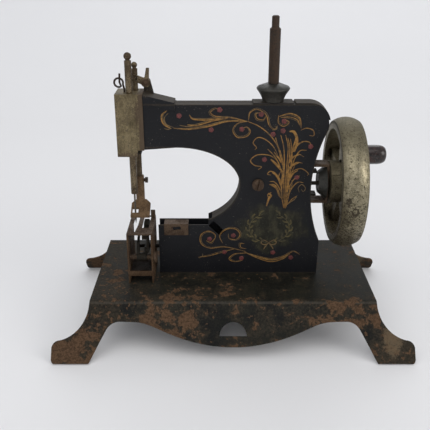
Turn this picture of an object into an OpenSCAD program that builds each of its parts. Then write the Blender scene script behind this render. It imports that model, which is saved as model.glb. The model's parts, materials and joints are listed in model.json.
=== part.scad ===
// Toy sewing machine of folded sheet metal, hand-cranked, chain stitch.
// Frame: +X towards the hand wheel, +Y away from the operator, +Z up,
// origin on the table under the middle of the base. Millimetres.

/* [Base] */
// Length of the base's top plate
plate_len = 144.6; // [136:0.2:150]
// Depth of the top plate between its two folds
plate_dep = 72; // [66:0.5:78]
// Height of the top plate above the table
base_h = 27.4; // [25:0.2:32]
// Length over the feet
foot_len = 182; // [178:1:190]
// Depth over the feet
foot_dep = 104; // [100:1:110]
// Thickness of the base's sheet
base_t = 1; // [0.7:0.1:1.4]
// Radius of the folds along the front and back
fold_r = 3; // [2:0.5:4]
// Radius of the hollow between the plate's corner and the foot
leg_r = 18; // [15:0.5:18]
// Height of the two arches in each skirt
arch_h = 18.3; // [16:0.1:20]
// Radius of an arch's outer end
arch_r = 8.2; // [7:0.1:9]
// Height of the middle lobe's lowest point
lobe_h = 7.3; // [5:0.1:9]
// Radius of the middle lobe's edge
lobe_r = 93; // [85:1:100]
// Radius of the half-moon hole in each skirt
moon_r = 7; // [5:0.5:8]
// Height of the half-moon hole's flat side
moon_h = 12; // [10:0.5:13]

/* [Head] */
// Distance of the head's middle plane from the base's middle
head_y = -1.5; // [-4:0.5:2]
// Thickness of the head over both panels
head_t = 9; // [8.6:0.2:10]
// Thickness of the head's sheet
sheet_t = 0.8; // [0.6:0.1:1]
// Height of the arm's top above the base plate
arm_h = 93; // [90:0.5:98]
// Rise of the arm's top at its left end
nose_rise = 4.4; // [3:0.2:5]
// Place where the arm's top starts to rise
nose_x = -28; // [-32:0.5:-24]
// Left end of the arm
arm_left = -45.9; // [-46.1:0.1:-45.5]
// Left end of the bed
bed_left = -39; // [-39.4:0.1:-38]
// Height of the bed above the base plate
bed_h = 28.6; // [28:0.1:30]
// Right edge of the column at its foot
col_right = 46; // [45:0.5:48]
// Radius of the head's upper right corner
corner_r = 9.8; // [8:0.2:11]
// Furthest reach of the upper right corner
corner_right = 47.4; // [46:0.2:48]
// Place of the throat's highest point
throat_x = -28.5; // [-32:0.5:-26]
// Height of the throat's widest point above the base plate
throat_z = 51.6; // [50:0.2:53]
// Reach of the throat to the right of its highest point
throat_a = 32; // [29:0.5:33]
// Depth of the arm above the throat's highest point
arm_depth = 21.9; // [21:0.1:24]
// Drop of the arm's underside at its left end
arm_droop = 1.4; // [0:0.2:2.4]
// Radius of the hollow in the column's right edge
waist_r = 75.9; // [70:0.5:82]
// Narrowest place of the column's right edge
waist_x = 40.4; // [39:0.2:42]
// Width of the slanting notch behind the bed
notch_w = 3.9; // [3:0.1:5]
// Length of the slanting notch
notch_len = 8.6; // [6:0.2:10]

/* [Rocker and wheel] */
// Place of the rocker's pivot
pivot_x = 13; // [11:0.5:15]
// Height of the pivot and the wheel's axis above the base plate
axis_h = 51.4; // [50.4:0.2:52.4]
// Radius of the pivot screw's shank
pivot_r = 2; // [1.5:0.1:2.4]
// Radius of the pivot screw's head
pivot_head_r = 3; // [2.8:0.1:4]
// Thickness of the rocker's plate
rocker_t = 1; // [0.8:0.1:1.2]
// Throw of the crank
crank_e = 2.2; // [1.8:0.1:2.4]
// Radius of the crank pin
crank_pin_r = 1; // [0.7:0.1:1.2]
// Radius of the main shaft
shaft_r = 1.9; // [1.5:0.1:2.2]
// Outer radius of the shaft's bush
bush_r = 3.4; // [3:0.1:4]
// Left face of the hand wheel
wheel_x = 51.6; // [51:0.1:53]
// Outer radius of the hand wheel
wheel_r = 33.4; // [32:0.2:35]
// Width of the wheel's rim
rim_w = 12.4; // [11:0.2:14]
// Depth of the rim from its crown to its lips
rim_d = 6; // [5:0.2:7]
// Wall of the rim
rim_wall = 2; // [1.6:0.1:2.4]
// Radius of the wheel's hub
hub_r = 11; // [10:0.5:13]
// Number of spokes
spokes = 5; // [4:1:6]
// Angle of the knob's spoke above the horizontal
knob_angle = 12; // [0:1:30]
// Distance of the knob from the wheel's axis
knob_orbit = 28; // [27:0.2:29]
// Length of the knob
knob_len = 19.2; // [16:0.2:22]
// Greatest radius of the knob
knob_r = 5.4; // [4.8:0.1:6.4]
// Radius of the knob's stud
stud_r = 1.5; // [1.2:0.1:1.8]

/* [Face and bars] */
// Left side of the face cover
face_left = -58; // [-60:0.2:-57.6]
// Front of the face cover, from the head's middle plane
face_front = -5.5; // [-6.5:0.1:-5.3]
// Back of the face cover, from the head's middle plane
face_back = 8.5; // [8.2:0.1:9.5]
// Drop of the face cover's lower edge below the arm's top
face_drop = 26.5; // [26.1:0.1:28]
// Thickness of the face cover's sheet
face_t = 0.7; // [0.5:0.1:0.8]
// Place of the needle bar along the arm
needle_x = -51; // [-51.4:0.1:-50.6]
// Place of the needle bar from the head's middle plane
needle_y = -2.1; // [-2.4:0.1:-2]
// Radius of the needle bar
needle_bar_r = 1.7; // [1.5:0.1:1.9]
// Height of the needle bar's finial above the face cover
needle_rise = 15.7; // [13.5:0.1:19]
// Height of the needle bar's lower end above the base plate
needle_bar_h = 45.6; // [44:0.1:48]
// Length of the needle under its bar
needle_len = 17; // [14:0.5:19]
// Radius of the needle
needle_r = 0.45; // [0.4:0.05:0.6]
// Place of the presser bar along the arm
presser_x = -48.8; // [-49.2:0.1:-48.6]
// Place of the presser bar from the head's middle plane
presser_y = 4.7; // [4.6:0.1:5]
// Radius of the presser bar
presser_bar_r = 1.5; // [1.3:0.1:1.7]
// Height of the presser bar's lower end above the base plate
presser_bar_h = 40; // [39.5:0.1:42]
// Height of the presser bar's finial above the face cover
presser_rise = 10.6; // [9:0.1:14]
// Width of the presser foot
foot_w = 10; // [8:0.2:11]
// Thickness of the presser foot's plate
sole_t = 1.2; // [1:0.1:1.4]
// Raised height of the presser foot's front edge above the needle plate
foot_lift = 4.6; // [4.5:0.1:6]
// Rise of the presser foot's plate from front to back
sole_rise = 5.4; // [4:0.2:6]
// Square hole for the needle in the foot
sole_hole = 3.2; // [2.6:0.1:3.6]

/* [Looper box] */
// Left side of the looper box
box_left = -54.6; // [-55:0.1:-54.2]
// Right side of the looper box
box_right = -41.4; // [-41.8:0.1:-41]
// Front of the looper box, from the head's middle plane
box_front = -16; // [-18:0.2:-15.6]
// Back of the looper box, from the head's middle plane
box_back = 8.5; // [7.5:0.1:9.5]
// Height of the looper box's floor above the base plate
floor_h = 4.3; // [3.5:0.1:5]
// Height of the looper's pivot above the base plate
looper_h = 13.6; // [13:0.1:14.4]
// Place of the looper's pivot from the head's middle plane
looper_y = -12.2; // [-12.6:0.1:-11.8]
// Radius of the looper's pivot screw
looper_pin_r = 1.3; // [1:0.1:1.5]
// Radius of the rocker's rod that drives the looper
rod_r = 1; // [0.8:0.1:1]
// Reach of the looper's feed finger from its pivot
feed_reach = 4.8; // [4.6:0.1:5.2]

/* [Spool and small parts] */
// Place of the spool pin along the arm
spool_x = 19.5; // [16:0.5:20]
// Radius of the spool pin
spool_r = 2.65; // [2.2:0.05:3]
// Height of the spool pin above its flange
spool_len = 26.3; // [22:0.5:30]
// Radius of the pin's slim tip
tip_r = 1.8; // [1.4:0.1:2]
// Length of the slim tip
tip_len = 5.5; // [4:0.5:8]
// Radius of the flange's rim
flange_r = 8.35; // [7:0.1:9]
// Radius of the flange's neck
flange_neck_r = 5.2; // [4.4:0.1:6]
// Height of the flange
flange_h = 8.8; // [7:0.2:10]
// Left end of the bed clip
clip_left = -36; // [-37:0.5:-34]
// Width of the bed clip
clip_w = 12.8; // [10:0.2:14]
// Drop of the bed clip's front flap
clip_drop = 5.6; // [4:0.2:7]
// Radius of the thread guide's wire
wire_r = 0.5; // [0.4:0.05:0.6]
// Radius of the thread guide's eye
eye_r = 2.2; // [1.9:0.1:2.6]

/* [Fits] */
// Radial clearance of shafts, bars and pivots
run_clr = 0.08; // [0.04:0.01:0.1]
// Clearance of slots round their pins
slot_clr = 0.25; // [0.2:0.01:0.3]
// Side clearance between moving plates and their neighbours
side_clr = 0.3; // [0.2:0.05:0.4]

/* [Hidden] */
$fn = 48;

// Colours
enamel = "#1d1e22";
nickel = "#8d8672";
rust = "#6d5440";
steel = "#5b5650";
wood = "#3a1f1c";

// Overshoot of cutting bodies, and swell of a strip's round ends
cut = 1;
link_swell = 0.2;

// Skirt: spread of the toe past the plane of the skirt
toe_spread = 2;
skirt_run = (foot_dep - plate_dep) / 2 - toe_spread;
skirt_angle = atan(base_h / skirt_run);
skirt_steps = 12;
fold_steps = 5;

// Head: inner faces, top line and seam of the two panels
half_t = head_t / 2;
inner_y = half_t - sheet_t;
seam = 0.1;
throat_b = arm_h - arm_depth - throat_z;
throat_d = throat_z - bed_h;
bed_right = -12.6;
corner_x = corner_right - corner_r;
corner_z = arm_h - corner_r;
strap_len = 20.2;
strip_gap = 0.8;
strip_end_rise = 2;
tab_w = 6;
tab_lip = 3;
tab_clr = 0.1;
head_tabs = [-26, 28];

// Rocker: swing, arm ends and plate
rocker_y = 0.9;
rocker_arm_w = 5;
lower_end = bed_left + 3;
tail_x = 41.4;
tail_arm = tail_x - pivot_x;
rocker_swing = crank_e / tail_arm;
drive_drop = 10.8;
drive_h = arm_h - drive_drop;
elbow_x = pivot_x - 5;
elbow_drop = 10.8;
shoulder_x = elbow_x - 12;
knee_drop = 16;
heel_x = elbow_x - 14;
heel_rise = 2;
boss_wall = 1.6;
drive_pin_r = 1;
fork_half = 2 * crank_e + crank_pin_r + side_clr;
tongue_t = 1;
tongue_w = 3.8;
crank_left = 39.6;
crank_disc_x = 44.2;
crank_disc_t = 2.3;
crank_disc_r = crank_e + crank_pin_r + 1;
strap_in = fork_half + tongue_t + crank_e + side_clr;
strap_t = 1.4;
bracket_left = 20;
bracket_web_right = 36;
bracket_x = 48.2;
bracket_t = 1.2;
bell_t = 0.8;
bell_left = tail_x + tongue_w / 2 + (fork_half + tongue_t) * rocker_swing + side_clr;
bell_mouth_r = crank_disc_r + 2 * side_clr + bell_t;
bell_foot_r = strap_in - side_clr;
rivet_r = 1.1;
rivet_x = bracket_left + 4;
hub_left = bracket_x + bracket_t + side_clr;
hub_len = 9;
hub_screw_r = 1.4;
spoke_x = 4;
spoke_t = 3.6;

// Bars: guides and the lifter
face_top = arm_h + nose_rise + 0.1 + face_t;
face_bottom = arm_h - face_drop;
face_right = arm_left + 1.4;
guide_t = 1.6;
lower_guide_h = face_bottom + 1.1;
upper_guide_h = face_top - face_t - guide_t;
lift_x = -43.2;
lift_angle = 21;
lift_arm = lift_x - presser_x;
lift_drop = 2 * lift_arm * tan(lift_angle);
lift_pin_r = 0.7;
lift_slot = 2 * (lift_pin_r + slot_clr);
lift_prong = 0.7;
lift_nose = lift_arm / cos(lift_angle) + 1;
lift_h = face_top + lift_nose * sin(lift_angle) + (lift_slot / 2 + lift_prong) * cos(lift_angle) + side_clr;
lifter_t = 1.2;
lifter_y = 1.7;
lifter_boss_r = 2.4;
lifter_rivet_r = 1;
ear_t = 0.8;
ear_y = lifter_y + lifter_t + 0.2;
collar_r = 2.4;
collar_h = 2.5;
presser_collar_h = lower_guide_h + guide_t + lift_drop + 0.8;
spring_wire_r = 0.35;
spring_r = 2.15;
spring_turns = 6;
spring_z0 = presser_collar_h + collar_h + spring_wire_r;
spring_z1 = upper_guide_h - spring_wire_r;
sleeve_r = 2.3;
foot_screw_drop = 2.5;

// Looper box: inner walls and the pieces inside
box_in_left = box_left + sheet_t;
box_in_right = box_right - sheet_t;
plate_top = bed_h;
sole_h = plate_top + foot_lift + sole_rise;
sleeve_top = (sole_h + lower_guide_h) / 2;
foot_screw_h = sleeve_top - foot_screw_drop;
plate_under = plate_top - sheet_t;
looper_x = -46.2;
looper_arm = rocker_y + rocker_t / 2 - looper_y;
rod_y = rocker_y + rocker_t / 2;
rod_throw = (pivot_x - looper_x) * rocker_swing;
looper_swing = atan(rod_throw / looper_arm);
looper_t = 1.2;
hook_x = needle_x + needle_r + 0.45;
hook_w = 1;
hook_knee_y = 3.2;
hook_knee_z = 6.4;
hook_bend_y = 6.8;
hook_bend_z = 8.6;
hook_tip_y = 9.4;
hook_tip_z = 8.8;
boss_r = looper_pin_r + 1;
finger_r = 0.8;
feed_x = -46.9;
feed_w = 2.6;
feed_leg_x = -44.6;
feed_leg_t = 1.2;
feed_top = plate_under - 0.8;
feed_bar_t = 2.4;
feed_throw = feed_reach * sin(looper_swing);

// Knob: start past the rim and the stud's head
knob_gap = 2.4;
rim_right = wheel_x + rim_w;
knob_x = rim_right + knob_gap;
stud_seat = rim_right + 0.6;
stud_collar = 1.4;
stud_gap = 0.2;
stud_inset = 0.3;
stud_end = knob_x + knob_len - stud_inset;
stud_head_r = 2.3;
stud_head_t = 1;

// Straight bodies along the three axes
module slab(y0, y1) {
    translate([0, y1, 0]) rotate([90, 0, 0]) linear_extrude(y1 - y0) children();
}

module plank(x0, x1) {
    translate([x0, 0, 0]) rotate([90, 0, 90]) linear_extrude(x1 - x0) children();
}

module rod_along_x(x0, x1, r) {
    translate([x0, 0, 0]) rotate([0, 90, 0]) cylinder(h = x1 - x0, r = r);
}

module rod_along_y(y0, y1, r) {
    translate([0, y0, 0]) rotate([-90, 0, 0]) cylinder(h = y1 - y0, r = r);
}

module block(x0, x1, y0, y1, z0, z1) {
    translate([x0, y0, z0]) cube([x1 - x0, y1 - y0, z1 - z0]);
}

// Flat strip with round ends between two points
module link(p, q, w) {
    d = q - p;
    translate(p) circle(d = w + link_swell);
    translate(q) circle(d = w + link_swell);
    translate(p) rotate(atan2(d[1], d[0])) translate([0, -w / 2]) square([norm(d), w]);
}

// Upper works stand on the base plate, in the head's middle plane
module on_plate() {
    translate([0, head_y, base_h]) children();
}

// Wheel's own axis
module on_axis() {
    on_plate() translate([0, 0, axis_h]) children();
}

module at_knob() {
    on_axis() rotate([knob_angle, 0, 0]) translate([0, knob_orbit, 0]) children();
}

module at_needle() {
    on_plate() translate([needle_x, needle_y, 0]) children();
}

module at_presser() {
    on_plate() translate([presser_x, presser_y, 0]) children();
}

// Tube with a round section swept along a path
function unit(v) = v / norm(v);

function tangent(path, i) = unit(path[min(i + 1, len(path) - 1)] - path[max(i - 1, 0)]);

function ring(c, t, side, r, sides) =
    let (n = unit(cross(t, side)), b = cross(n, t))
    [for (k = [0:sides - 1]) c + r * (cos(360 * k / sides) * n + sin(360 * k / sides) * b)];

module tube(path, r, sides, side) {
    rings = len(path);
    points = [for (i = [0:rings - 1]) each ring(path[i], tangent(path, i), side, r, sides)];
    walls = [for (i = [0:rings - 2], k = [0:sides - 1])
        let (a = i * sides + k, b = i * sides + (k + 1) % sides)
        each [[a, b, b + sides], [a, b + sides, a + sides]]];
    first = [for (k = [1:sides - 2]) [0, k + 1, k]];
    base = (rings - 1) * sides;
    last = [for (k = [1:sides - 2]) [base, base + k, base + k + 1]];
    polyhedron(points, concat(walls, first, last));
}

// Base: half of the skirt's section, outside face, from the plate down to the toe
function skirt_y(s) = plate_dep / 2 + skirt_run * s + toe_spread * pow(s, 4);

function fold_points(r, y, z) =
    [for (k = [0:fold_steps]) let (a = skirt_angle * k / fold_steps) [y + r * sin(a), z - r + r * cos(a)]];

function mirrored(half) = concat(half, [for (k = [len(half) - 1:-1:0]) [-half[k][0], half[k][1]]]);

module base_section() {
    y0 = plate_dep / 2 - fold_r;
    inner = base_t / sin(skirt_angle);
    outside = [for (k = [2:skirt_steps]) let (s = k / skirt_steps) [skirt_y(s), base_h * (1 - s)]];
    inside = [for (k = [skirt_steps:-1:2]) let (s = k / skirt_steps) [skirt_y(s) - inner, base_h * (1 - s)]];
    half = concat(fold_points(fold_r, y0, base_h), outside, inside, [[y0, base_h - base_t]]);
    polygon(mirrored(half));
}

// Base: outline seen from the front, right half
module base_front_half() {
    foot = foot_len / 2;
    corner = plate_len / 2;
    arch_x = corner - 15.3;
    toe_in = 18;
    foot_slant = 3.2;
    difference() {
        polygon([[-cut, 0], [foot, 0], [foot - foot_slant, base_h - leg_r + cut],
            [foot - foot_slant, base_h + cut], [-cut, base_h + cut]]);
        translate([corner + leg_r, base_h + cut / 2]) circle(leg_r);
        difference() {
            union() {
                translate([arch_x, arch_h - arch_r]) circle(arch_r);
                polygon([[-cut, -cut], [foot - toe_in + 0.2, -cut], [arch_x + 7.1, arch_h - 4.1],
                    [arch_x, arch_h - arch_r], [arch_x, arch_h], [-cut, arch_h]]);
            }
            translate([0, lobe_h + lobe_r]) circle(lobe_r, $fn = 180);
        }
        difference() {
            translate([0, moon_h - 0.8]) circle(moon_r);
            translate([-moon_r - cut, moon_h - moon_r - 2]) square([2 * moon_r + 2 * cut, moon_r + 2]);
        }
    }
}

// Slots and tabs that hold the head's panels to the base
module panel_tabs(y0, lip_y, c) {
    for (x = head_tabs) {
        block(x - tab_w / 2 - c, x + tab_w / 2 + c, y0 - c, y0 + sheet_t + c, -base_t - sheet_t - c, cut);
        if (c == 0)
            block(x - tab_w / 2, x + tab_w / 2, min(y0, lip_y), max(y0 + sheet_t, lip_y),
                -base_t - sheet_t, -base_t);
    }
}

module base_stand() {
    color(rust)
    difference() {
        intersection() {
            plank(-foot_len / 2, foot_len / 2) base_section();
            slab(-foot_dep / 2 - cut, foot_dep / 2 + cut) {
                base_front_half();
                mirror([1, 0]) base_front_half();
            }
        }
        on_plate() {
            panel_tabs(-half_t, 0, tab_clr);
            panel_tabs(half_t - sheet_t, 0, tab_clr);
        }
    }
}

// Head: outline of both panels, drawn in by i where the edge is flanged
module throat_shape(i) {
    curve = [for (a = [-90:6:90])
        [throat_x + (throat_a + i) * cos(a), throat_z + ((a > 0 ? throat_b : throat_d) + i) * sin(a)]];
    far = arm_left - 2 * cut;
    polygon(concat(curve, [[far, throat_z + throat_b - arm_droop + i], [far, bed_h - i]]));
    polygon([[far, bed_h - i], [bed_right, bed_h - i], [bed_right, throat_z], [far, throat_z]]);
}

module head_outline(i) {
    difference() {
        union() {
            polygon([[arm_left, 0], [col_right - i, 0], [corner_right - i, corner_z], [corner_x, arm_h - i],
                [nose_x, arm_h - i], [arm_left, arm_h + nose_rise - i]]);
            translate([corner_x, corner_z]) circle(corner_r - i);
        }
        translate([waist_x + waist_r, axis_h - 2.7]) circle(waist_r + i, $fn = 180);
        throat_shape(i);
        translate([arm_left - cut, -cut]) square([bed_left - arm_left + cut, bed_h + 2 * cut]);
    }
}

// Head: stretches of the edge that have a flange
module flange_outline() {
    difference() {
        head_outline(0);
        head_outline(sheet_t);
        translate([arm_left - cut, -cut]) square([bed_right + 2 - arm_left + cut, bed_h + notch_w + 2 * cut]);
        translate([bracket_web_right, axis_h - strap_in - 2 * strap_t])
            square([foot_len, 2 * strap_in + 4 * strap_t]);
    }
}

module notch() {
    translate([bed_right, bed_h - 0.5]) rotate(-45) square([notch_len, notch_w]);
}

module head_panel() {
    difference() {
        union() {
            slab(-half_t, -inner_y) head_outline(0);
            slab(-half_t, -seam / 2) flange_outline();
            panel_tabs(-half_t, -half_t - tab_lip, 0);
        }
        translate([pivot_x, 0, axis_h]) rod_along_y(-half_t - cut, half_t + cut, pivot_r);
        translate([spool_x, 0, arm_h - 2 * cut]) cylinder(h = 3 * cut, r = tip_r);
    }
}

module head_front_panel() {
    color(enamel)
    on_plate()
    difference() {
        head_panel();
        slab(-half_t - cut, -inner_y + cut) notch();
    }
}

module head_rear_panel() {
    color(enamel)
    on_plate()
    difference() {
        mirror([0, 1, 0]) head_panel();
        rivet_places() rod_along_y(0, half_t + cut, rivet_r);
    }
}

// Strap that stiffens the arm's top under the spool pin
module top_strap() {
    color(enamel)
    on_plate()
    difference() {
        translate([spool_x, 0, arm_h])
            block(-strap_len / 2, strap_len / 2, -half_t, half_t, 0, sheet_t);
        translate([spool_x, 0, arm_h - cut]) cylinder(h = sheet_t + 2 * cut, r = tip_r);
    }
}

// Strip bent round the head's upper right corner
module corner_strip() {
    start_x = spool_x + strap_len / 2 + strip_gap;
    color(enamel)
    on_plate()
    slab(-half_t, half_t)
    union() {
        translate([start_x, arm_h]) square([corner_x - start_x, sheet_t]);
        intersection() {
            translate([corner_x, corner_z])
            difference() {
                circle(corner_r + sheet_t);
                circle(corner_r);
            }
            translate([corner_x, corner_z + strip_end_rise]) square(2 * corner_r);
        }
    }
}

// Saddle over the arm's left end, with the ear that carries the lifter
module nose_cover() {
    left = face_right + 0.2;
    right = nose_x - 0.9;
    lip = 3.2;
    function top_z(x) = arm_h + nose_rise * (nose_x - x) / (nose_x - arm_left);
    color(enamel)
    on_plate()
    difference() {
        union() {
            slab(-half_t - sheet_t, half_t + sheet_t)
                polygon([[left, top_z(left)], [right, top_z(right)],
                    [right, top_z(right) + sheet_t], [left, top_z(left) + sheet_t]]);
            for (y = [-half_t - sheet_t, half_t])
                slab(y, y + sheet_t)
                    polygon([[left, top_z(left) - lip], [right, top_z(right) - lip],
                        [right, top_z(right) + sheet_t], [left, top_z(left) + sheet_t]]);
            slab(ear_y, ear_y + ear_t) {
                translate([lift_x, lift_h]) circle(lifter_boss_r);
                polygon([[lift_x - lifter_boss_r / 2, lift_h], [left, top_z(left)],
                    [lift_x + 4, top_z(lift_x + 4)], [lift_x + lifter_boss_r, lift_h]]);
            }
        }
        translate([lift_x, 0, lift_h]) rod_along_y(0, head_t, lifter_rivet_r);
    }
}

// Cover of the face, folded from plated sheet
module face_cover() {
    front_right = arm_left - 2;
    strip_z0 = throat_z + throat_b - arm_droop;
    color(nickel)
    on_plate()
    difference() {
        union() {
            block(face_left, face_left + face_t, face_front, face_back, face_bottom, face_top);
            block(face_left, front_right, face_front, face_front + face_t, face_bottom, face_top);
            block(face_left, face_right, face_back - face_t, face_back, face_bottom, face_top);
            block(face_left, face_right, face_front, face_back, face_top - face_t, face_top);
            block(front_right - face_t, face_right, -half_t - face_t, -half_t, strip_z0, face_top);
            block(face_right - face_t, face_right, half_t, face_back, strip_z0, face_top);
        }
        translate([needle_x, needle_y, 0]) cylinder(h = face_top + cut, r = needle_bar_r + run_clr);
        translate([presser_x, presser_y, 0]) cylinder(h = face_top + cut, r = presser_bar_r + run_clr);
    }
}

// Plates inside the face that guide both bars
module bar_guide(z) {
    color(steel)
    on_plate()
    difference() {
        block(face_left + face_t, arm_left - side_clr, -half_t, face_back - face_t, z, z + guide_t);
        translate([needle_x, needle_y, z - cut]) cylinder(h = guide_t + 2 * cut, r = needle_bar_r + run_clr);
        translate([presser_x, presser_y, z - cut]) cylinder(h = guide_t + 2 * cut, r = presser_bar_r + run_clr);
    }
}

module upper_bar_guide() {
    bar_guide(upper_guide_h);
}

module lower_bar_guide() {
    bar_guide(lower_guide_h);
}

// Spool pin, its flared flange and the nut inside the arm
module at_spool() {
    on_plate() translate([spool_x, 0, arm_h + sheet_t]) children();
}

module spool_flange() {
    rim_z = flange_h - 2.4;
    color(steel)
    at_spool()
    rotate_extrude()
    polygon([[tip_r, 0], [flange_neck_r, 0], [flange_neck_r + 0.3, 1.6], [flange_neck_r + 1.3, 3.6],
        [flange_r - 0.5, rim_z - 0.8], [flange_r, rim_z], [flange_r - 0.7, rim_z + 0.8],
        [spool_r + 0.9, flange_h], [tip_r, flange_h]]);
}

module spool_pin() {
    shank = 5;
    color(rust)
    at_spool()
    rotate_extrude()
    polygon([[0, -sheet_t - shank], [tip_r, -sheet_t - shank], [tip_r, flange_h], [spool_r, flange_h],
        [spool_r, flange_h + spool_len - 0.6], [spool_r - 0.6, flange_h + spool_len],
        [tip_r, flange_h + spool_len], [tip_r, flange_h + spool_len + tip_len - 0.5],
        [tip_r - 0.6, flange_h + spool_len + tip_len], [0, flange_h + spool_len + tip_len]]);
}

module spool_nut() {
    nut_t = 2.4;
    color(steel)
    at_spool()
    translate([0, 0, -2 * sheet_t - nut_t])
    difference() {
        cylinder(h = nut_t, r = 3.2, $fn = 6);
        translate([0, 0, -cut]) cylinder(h = nut_t + 2 * cut, r = tip_r);
    }
}

// Slotted screw that carries the rocker, and its nut
module pivot_screw() {
    head_h = 1.7;
    nut_t = 2.4;
    color(steel)
    on_axis()
    translate([pivot_x, 0, 0])
    difference() {
        union() {
            rod_along_y(-half_t - head_h, -half_t, pivot_head_r);
            rod_along_y(-half_t, half_t + nut_t + 0.8, pivot_r);
        }
        rotate([0, 12, 0]) block(-0.4, 0.4, -half_t - head_h - cut, -half_t - head_h / 2,
            -pivot_head_r - cut, pivot_head_r + cut);
    }
}

module pivot_nut() {
    nut_t = 2.4;
    color(steel)
    on_axis()
    translate([pivot_x, half_t, 0])
    rotate([-90, 0, 0])
    difference() {
        cylinder(h = nut_t, r = pivot_r + 1.9, $fn = 6);
        translate([0, 0, -cut]) cylinder(h = nut_t + 2 * cut, r = pivot_r);
    }
}

// Bracket that holds the shaft's bush outside the column
module rivet_places() {
    for (z = [-5.4, 5.4]) translate([rivet_x, 0, axis_h + z]) children();
}

module bearing_bracket() {
    color(rust)
    on_plate()
    difference() {
        union() {
            block(bracket_left, bracket_web_right, inner_y - strap_t, inner_y, axis_h - strap_in - strap_t,
                axis_h + strap_in + strap_t);
            for (z = [strap_in, -strap_in - strap_t])
                block(bracket_left, bracket_x + bracket_t, -inner_y, inner_y, axis_h + z, axis_h + z + strap_t);
            block(bracket_x, bracket_x + bracket_t, -inner_y, inner_y, axis_h - strap_in - strap_t,
                axis_h + strap_in + strap_t);
        }
        translate([0, 0, axis_h]) rod_along_x(bracket_x - cut, bracket_x + bracket_t + cut, bush_r);
        rivet_places() rod_along_y(0, half_t, rivet_r);
    }
}

module bracket_rivets() {
    color(steel)
    on_plate()
    rivet_places() {
        rod_along_y(inner_y - strap_t, half_t, rivet_r);
        rod_along_y(half_t, half_t + 0.8, rivet_r + 0.8);
    }
}

module shaft_bush() {
    left = crank_disc_x + crank_disc_t + side_clr;
    right = hub_left - side_clr;
    color(steel)
    on_axis()
    difference() {
        rod_along_x(left, right, bush_r);
        rod_along_x(left - cut, right + cut, shaft_r + run_clr);
    }
}

// Flared bell on the bracket's plate, round the crank
module bearing_bell() {
    bell_len = bracket_x - bell_left;
    color(enamel)
    on_axis()
    translate([bell_left, 0, 0]) rotate([0, 90, 0])
    rotate_extrude()
        polygon([[bell_mouth_r - bell_t, 0], [bell_mouth_r, 0], [bell_foot_r, bell_len], [bell_foot_r - bell_t, bell_len]]);
}

// Looper box: two walls, a floor and a front lip
module looper_box() {
    lip = 3;
    window_y = rod_r + 1;
    window_z = rod_throw + rod_r + 1;
    color(rust)
    on_plate()
    difference() {
        union() {
            block(box_left, box_in_left, box_front, box_back, 0, plate_under);
            block(box_in_right, box_right, box_front, box_back, 0, plate_under);
            block(box_left, box_right, box_front, box_back, floor_h, floor_h + sheet_t);
            block(box_left, box_right, box_front, box_front + sheet_t, floor_h, floor_h + lip);
        }
        translate([0, looper_y, looper_h]) rod_along_x(box_left - cut, box_right + cut, looper_pin_r);
        block(box_in_right - cut, box_right + cut, rod_y - window_y, rod_y + window_y,
            looper_h - window_z, looper_h + window_z);
    }
}

module needle_plate() {
    slot_w = 2.6;
    slot_front = box_front + 3;
    feed_clr = 0.5;
    color(rust)
    on_plate()
    translate([0, 0, plate_under])
    linear_extrude(sheet_t)
    difference() {
        translate([box_left, box_front]) square([box_right - box_left, box_back - box_front]);
        polygon([[needle_x - slot_w / 2, box_back + cut], [needle_x - slot_w / 2, needle_y - 2],
            [needle_x - 0.5, slot_front], [needle_x + 0.5, slot_front],
            [needle_x + slot_w / 2, needle_y - 2], [needle_x + slot_w / 2, box_back + cut]]);
        translate([feed_x - feed_clr, -6 - feed_throw - feed_clr])
            square([feed_w + 2 * feed_clr, 12 + 2 * feed_throw + 2 * feed_clr]);
    }
}

module looper_pivot_screw() {
    head_h = 1.7;
    head_r = 2.85;
    color(rust)
    on_plate()
    translate([0, looper_y, looper_h])
    difference() {
        union() {
            rod_along_x(box_left, box_right, looper_pin_r);
            rod_along_x(box_right, box_right + head_h, head_r);
        }
        block(box_right + head_h / 2, box_right + head_h + cut, -0.4, 0.4, -head_r - cut, head_r + cut);
    }
}

// Ledge under the feed bar
module feed_guide() {
    color(rust)
    on_plate()
    block(feed_x - 0.4, box_in_right, -3, 4, feed_top - feed_bar_t - sheet_t - 0.05, feed_top - feed_bar_t - 0.05);
}

// Clip on the bed's front edge, with a slotted hole
module bed_clip() {
    ledge = 1;
    grip = 4;
    hole_r = 0.9;
    hole_len = 2.4;
    right = clip_left + clip_w;
    hole_x = clip_left + clip_w / 2 - 0.9;
    color(rust)
    on_plate()
    difference() {
        union() {
            block(clip_left, right, -half_t - sheet_t, ledge, bed_h, bed_h + sheet_t);
            block(clip_left, right, -half_t - sheet_t, -half_t, bed_h - clip_drop, bed_h + sheet_t);
            block(clip_left, right, -inner_y, -inner_y + sheet_t, bed_h - grip, bed_h + sheet_t);
        }
        slab(-half_t - sheet_t - cut, -half_t + 0.01)
            link([hole_x, bed_h - 1.8], [hole_x + hole_len, bed_h - 1.6], 2 * hole_r);
    }
}

// Upright tab that guides the cloth's edge
module cloth_guide() {
    guide_w = 2.4;
    tab_h = 4.4;
    y = box_back - 3.2;
    color(rust)
    on_plate() {
        block(box_right - guide_w, box_right, y, y + 2.6, plate_top, plate_top + sheet_t);
        block(box_right - guide_w, box_right, y, y + sheet_t, plate_top, plate_top + tab_h);
    }
}

// Pigtail guide of bent wire on top of the face
module thread_guide() {
    eye_x = needle_x - 5.2;
    eye_z = face_top + 4.6;
    rise = 4.2;
    eye = [for (a = [-20:20:300]) [eye_x + eye_r * cos(a), 0.15 * eye_r * a / 300, eye_z + eye_r * sin(a)]];
    start = [eye_x + eye_r + 0.4, 0, face_top];
    hook = [eye_x + 0.4, 0.1 * eye_r, eye_z + 0.2];
    path = concat([start, start + [0, 0, 1.6]], eye, [hook, hook + [0.2, 0, rise]]);
    color(steel) on_plate() tube(path, wire_r, 8, [0, 1, 0]);
}

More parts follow.
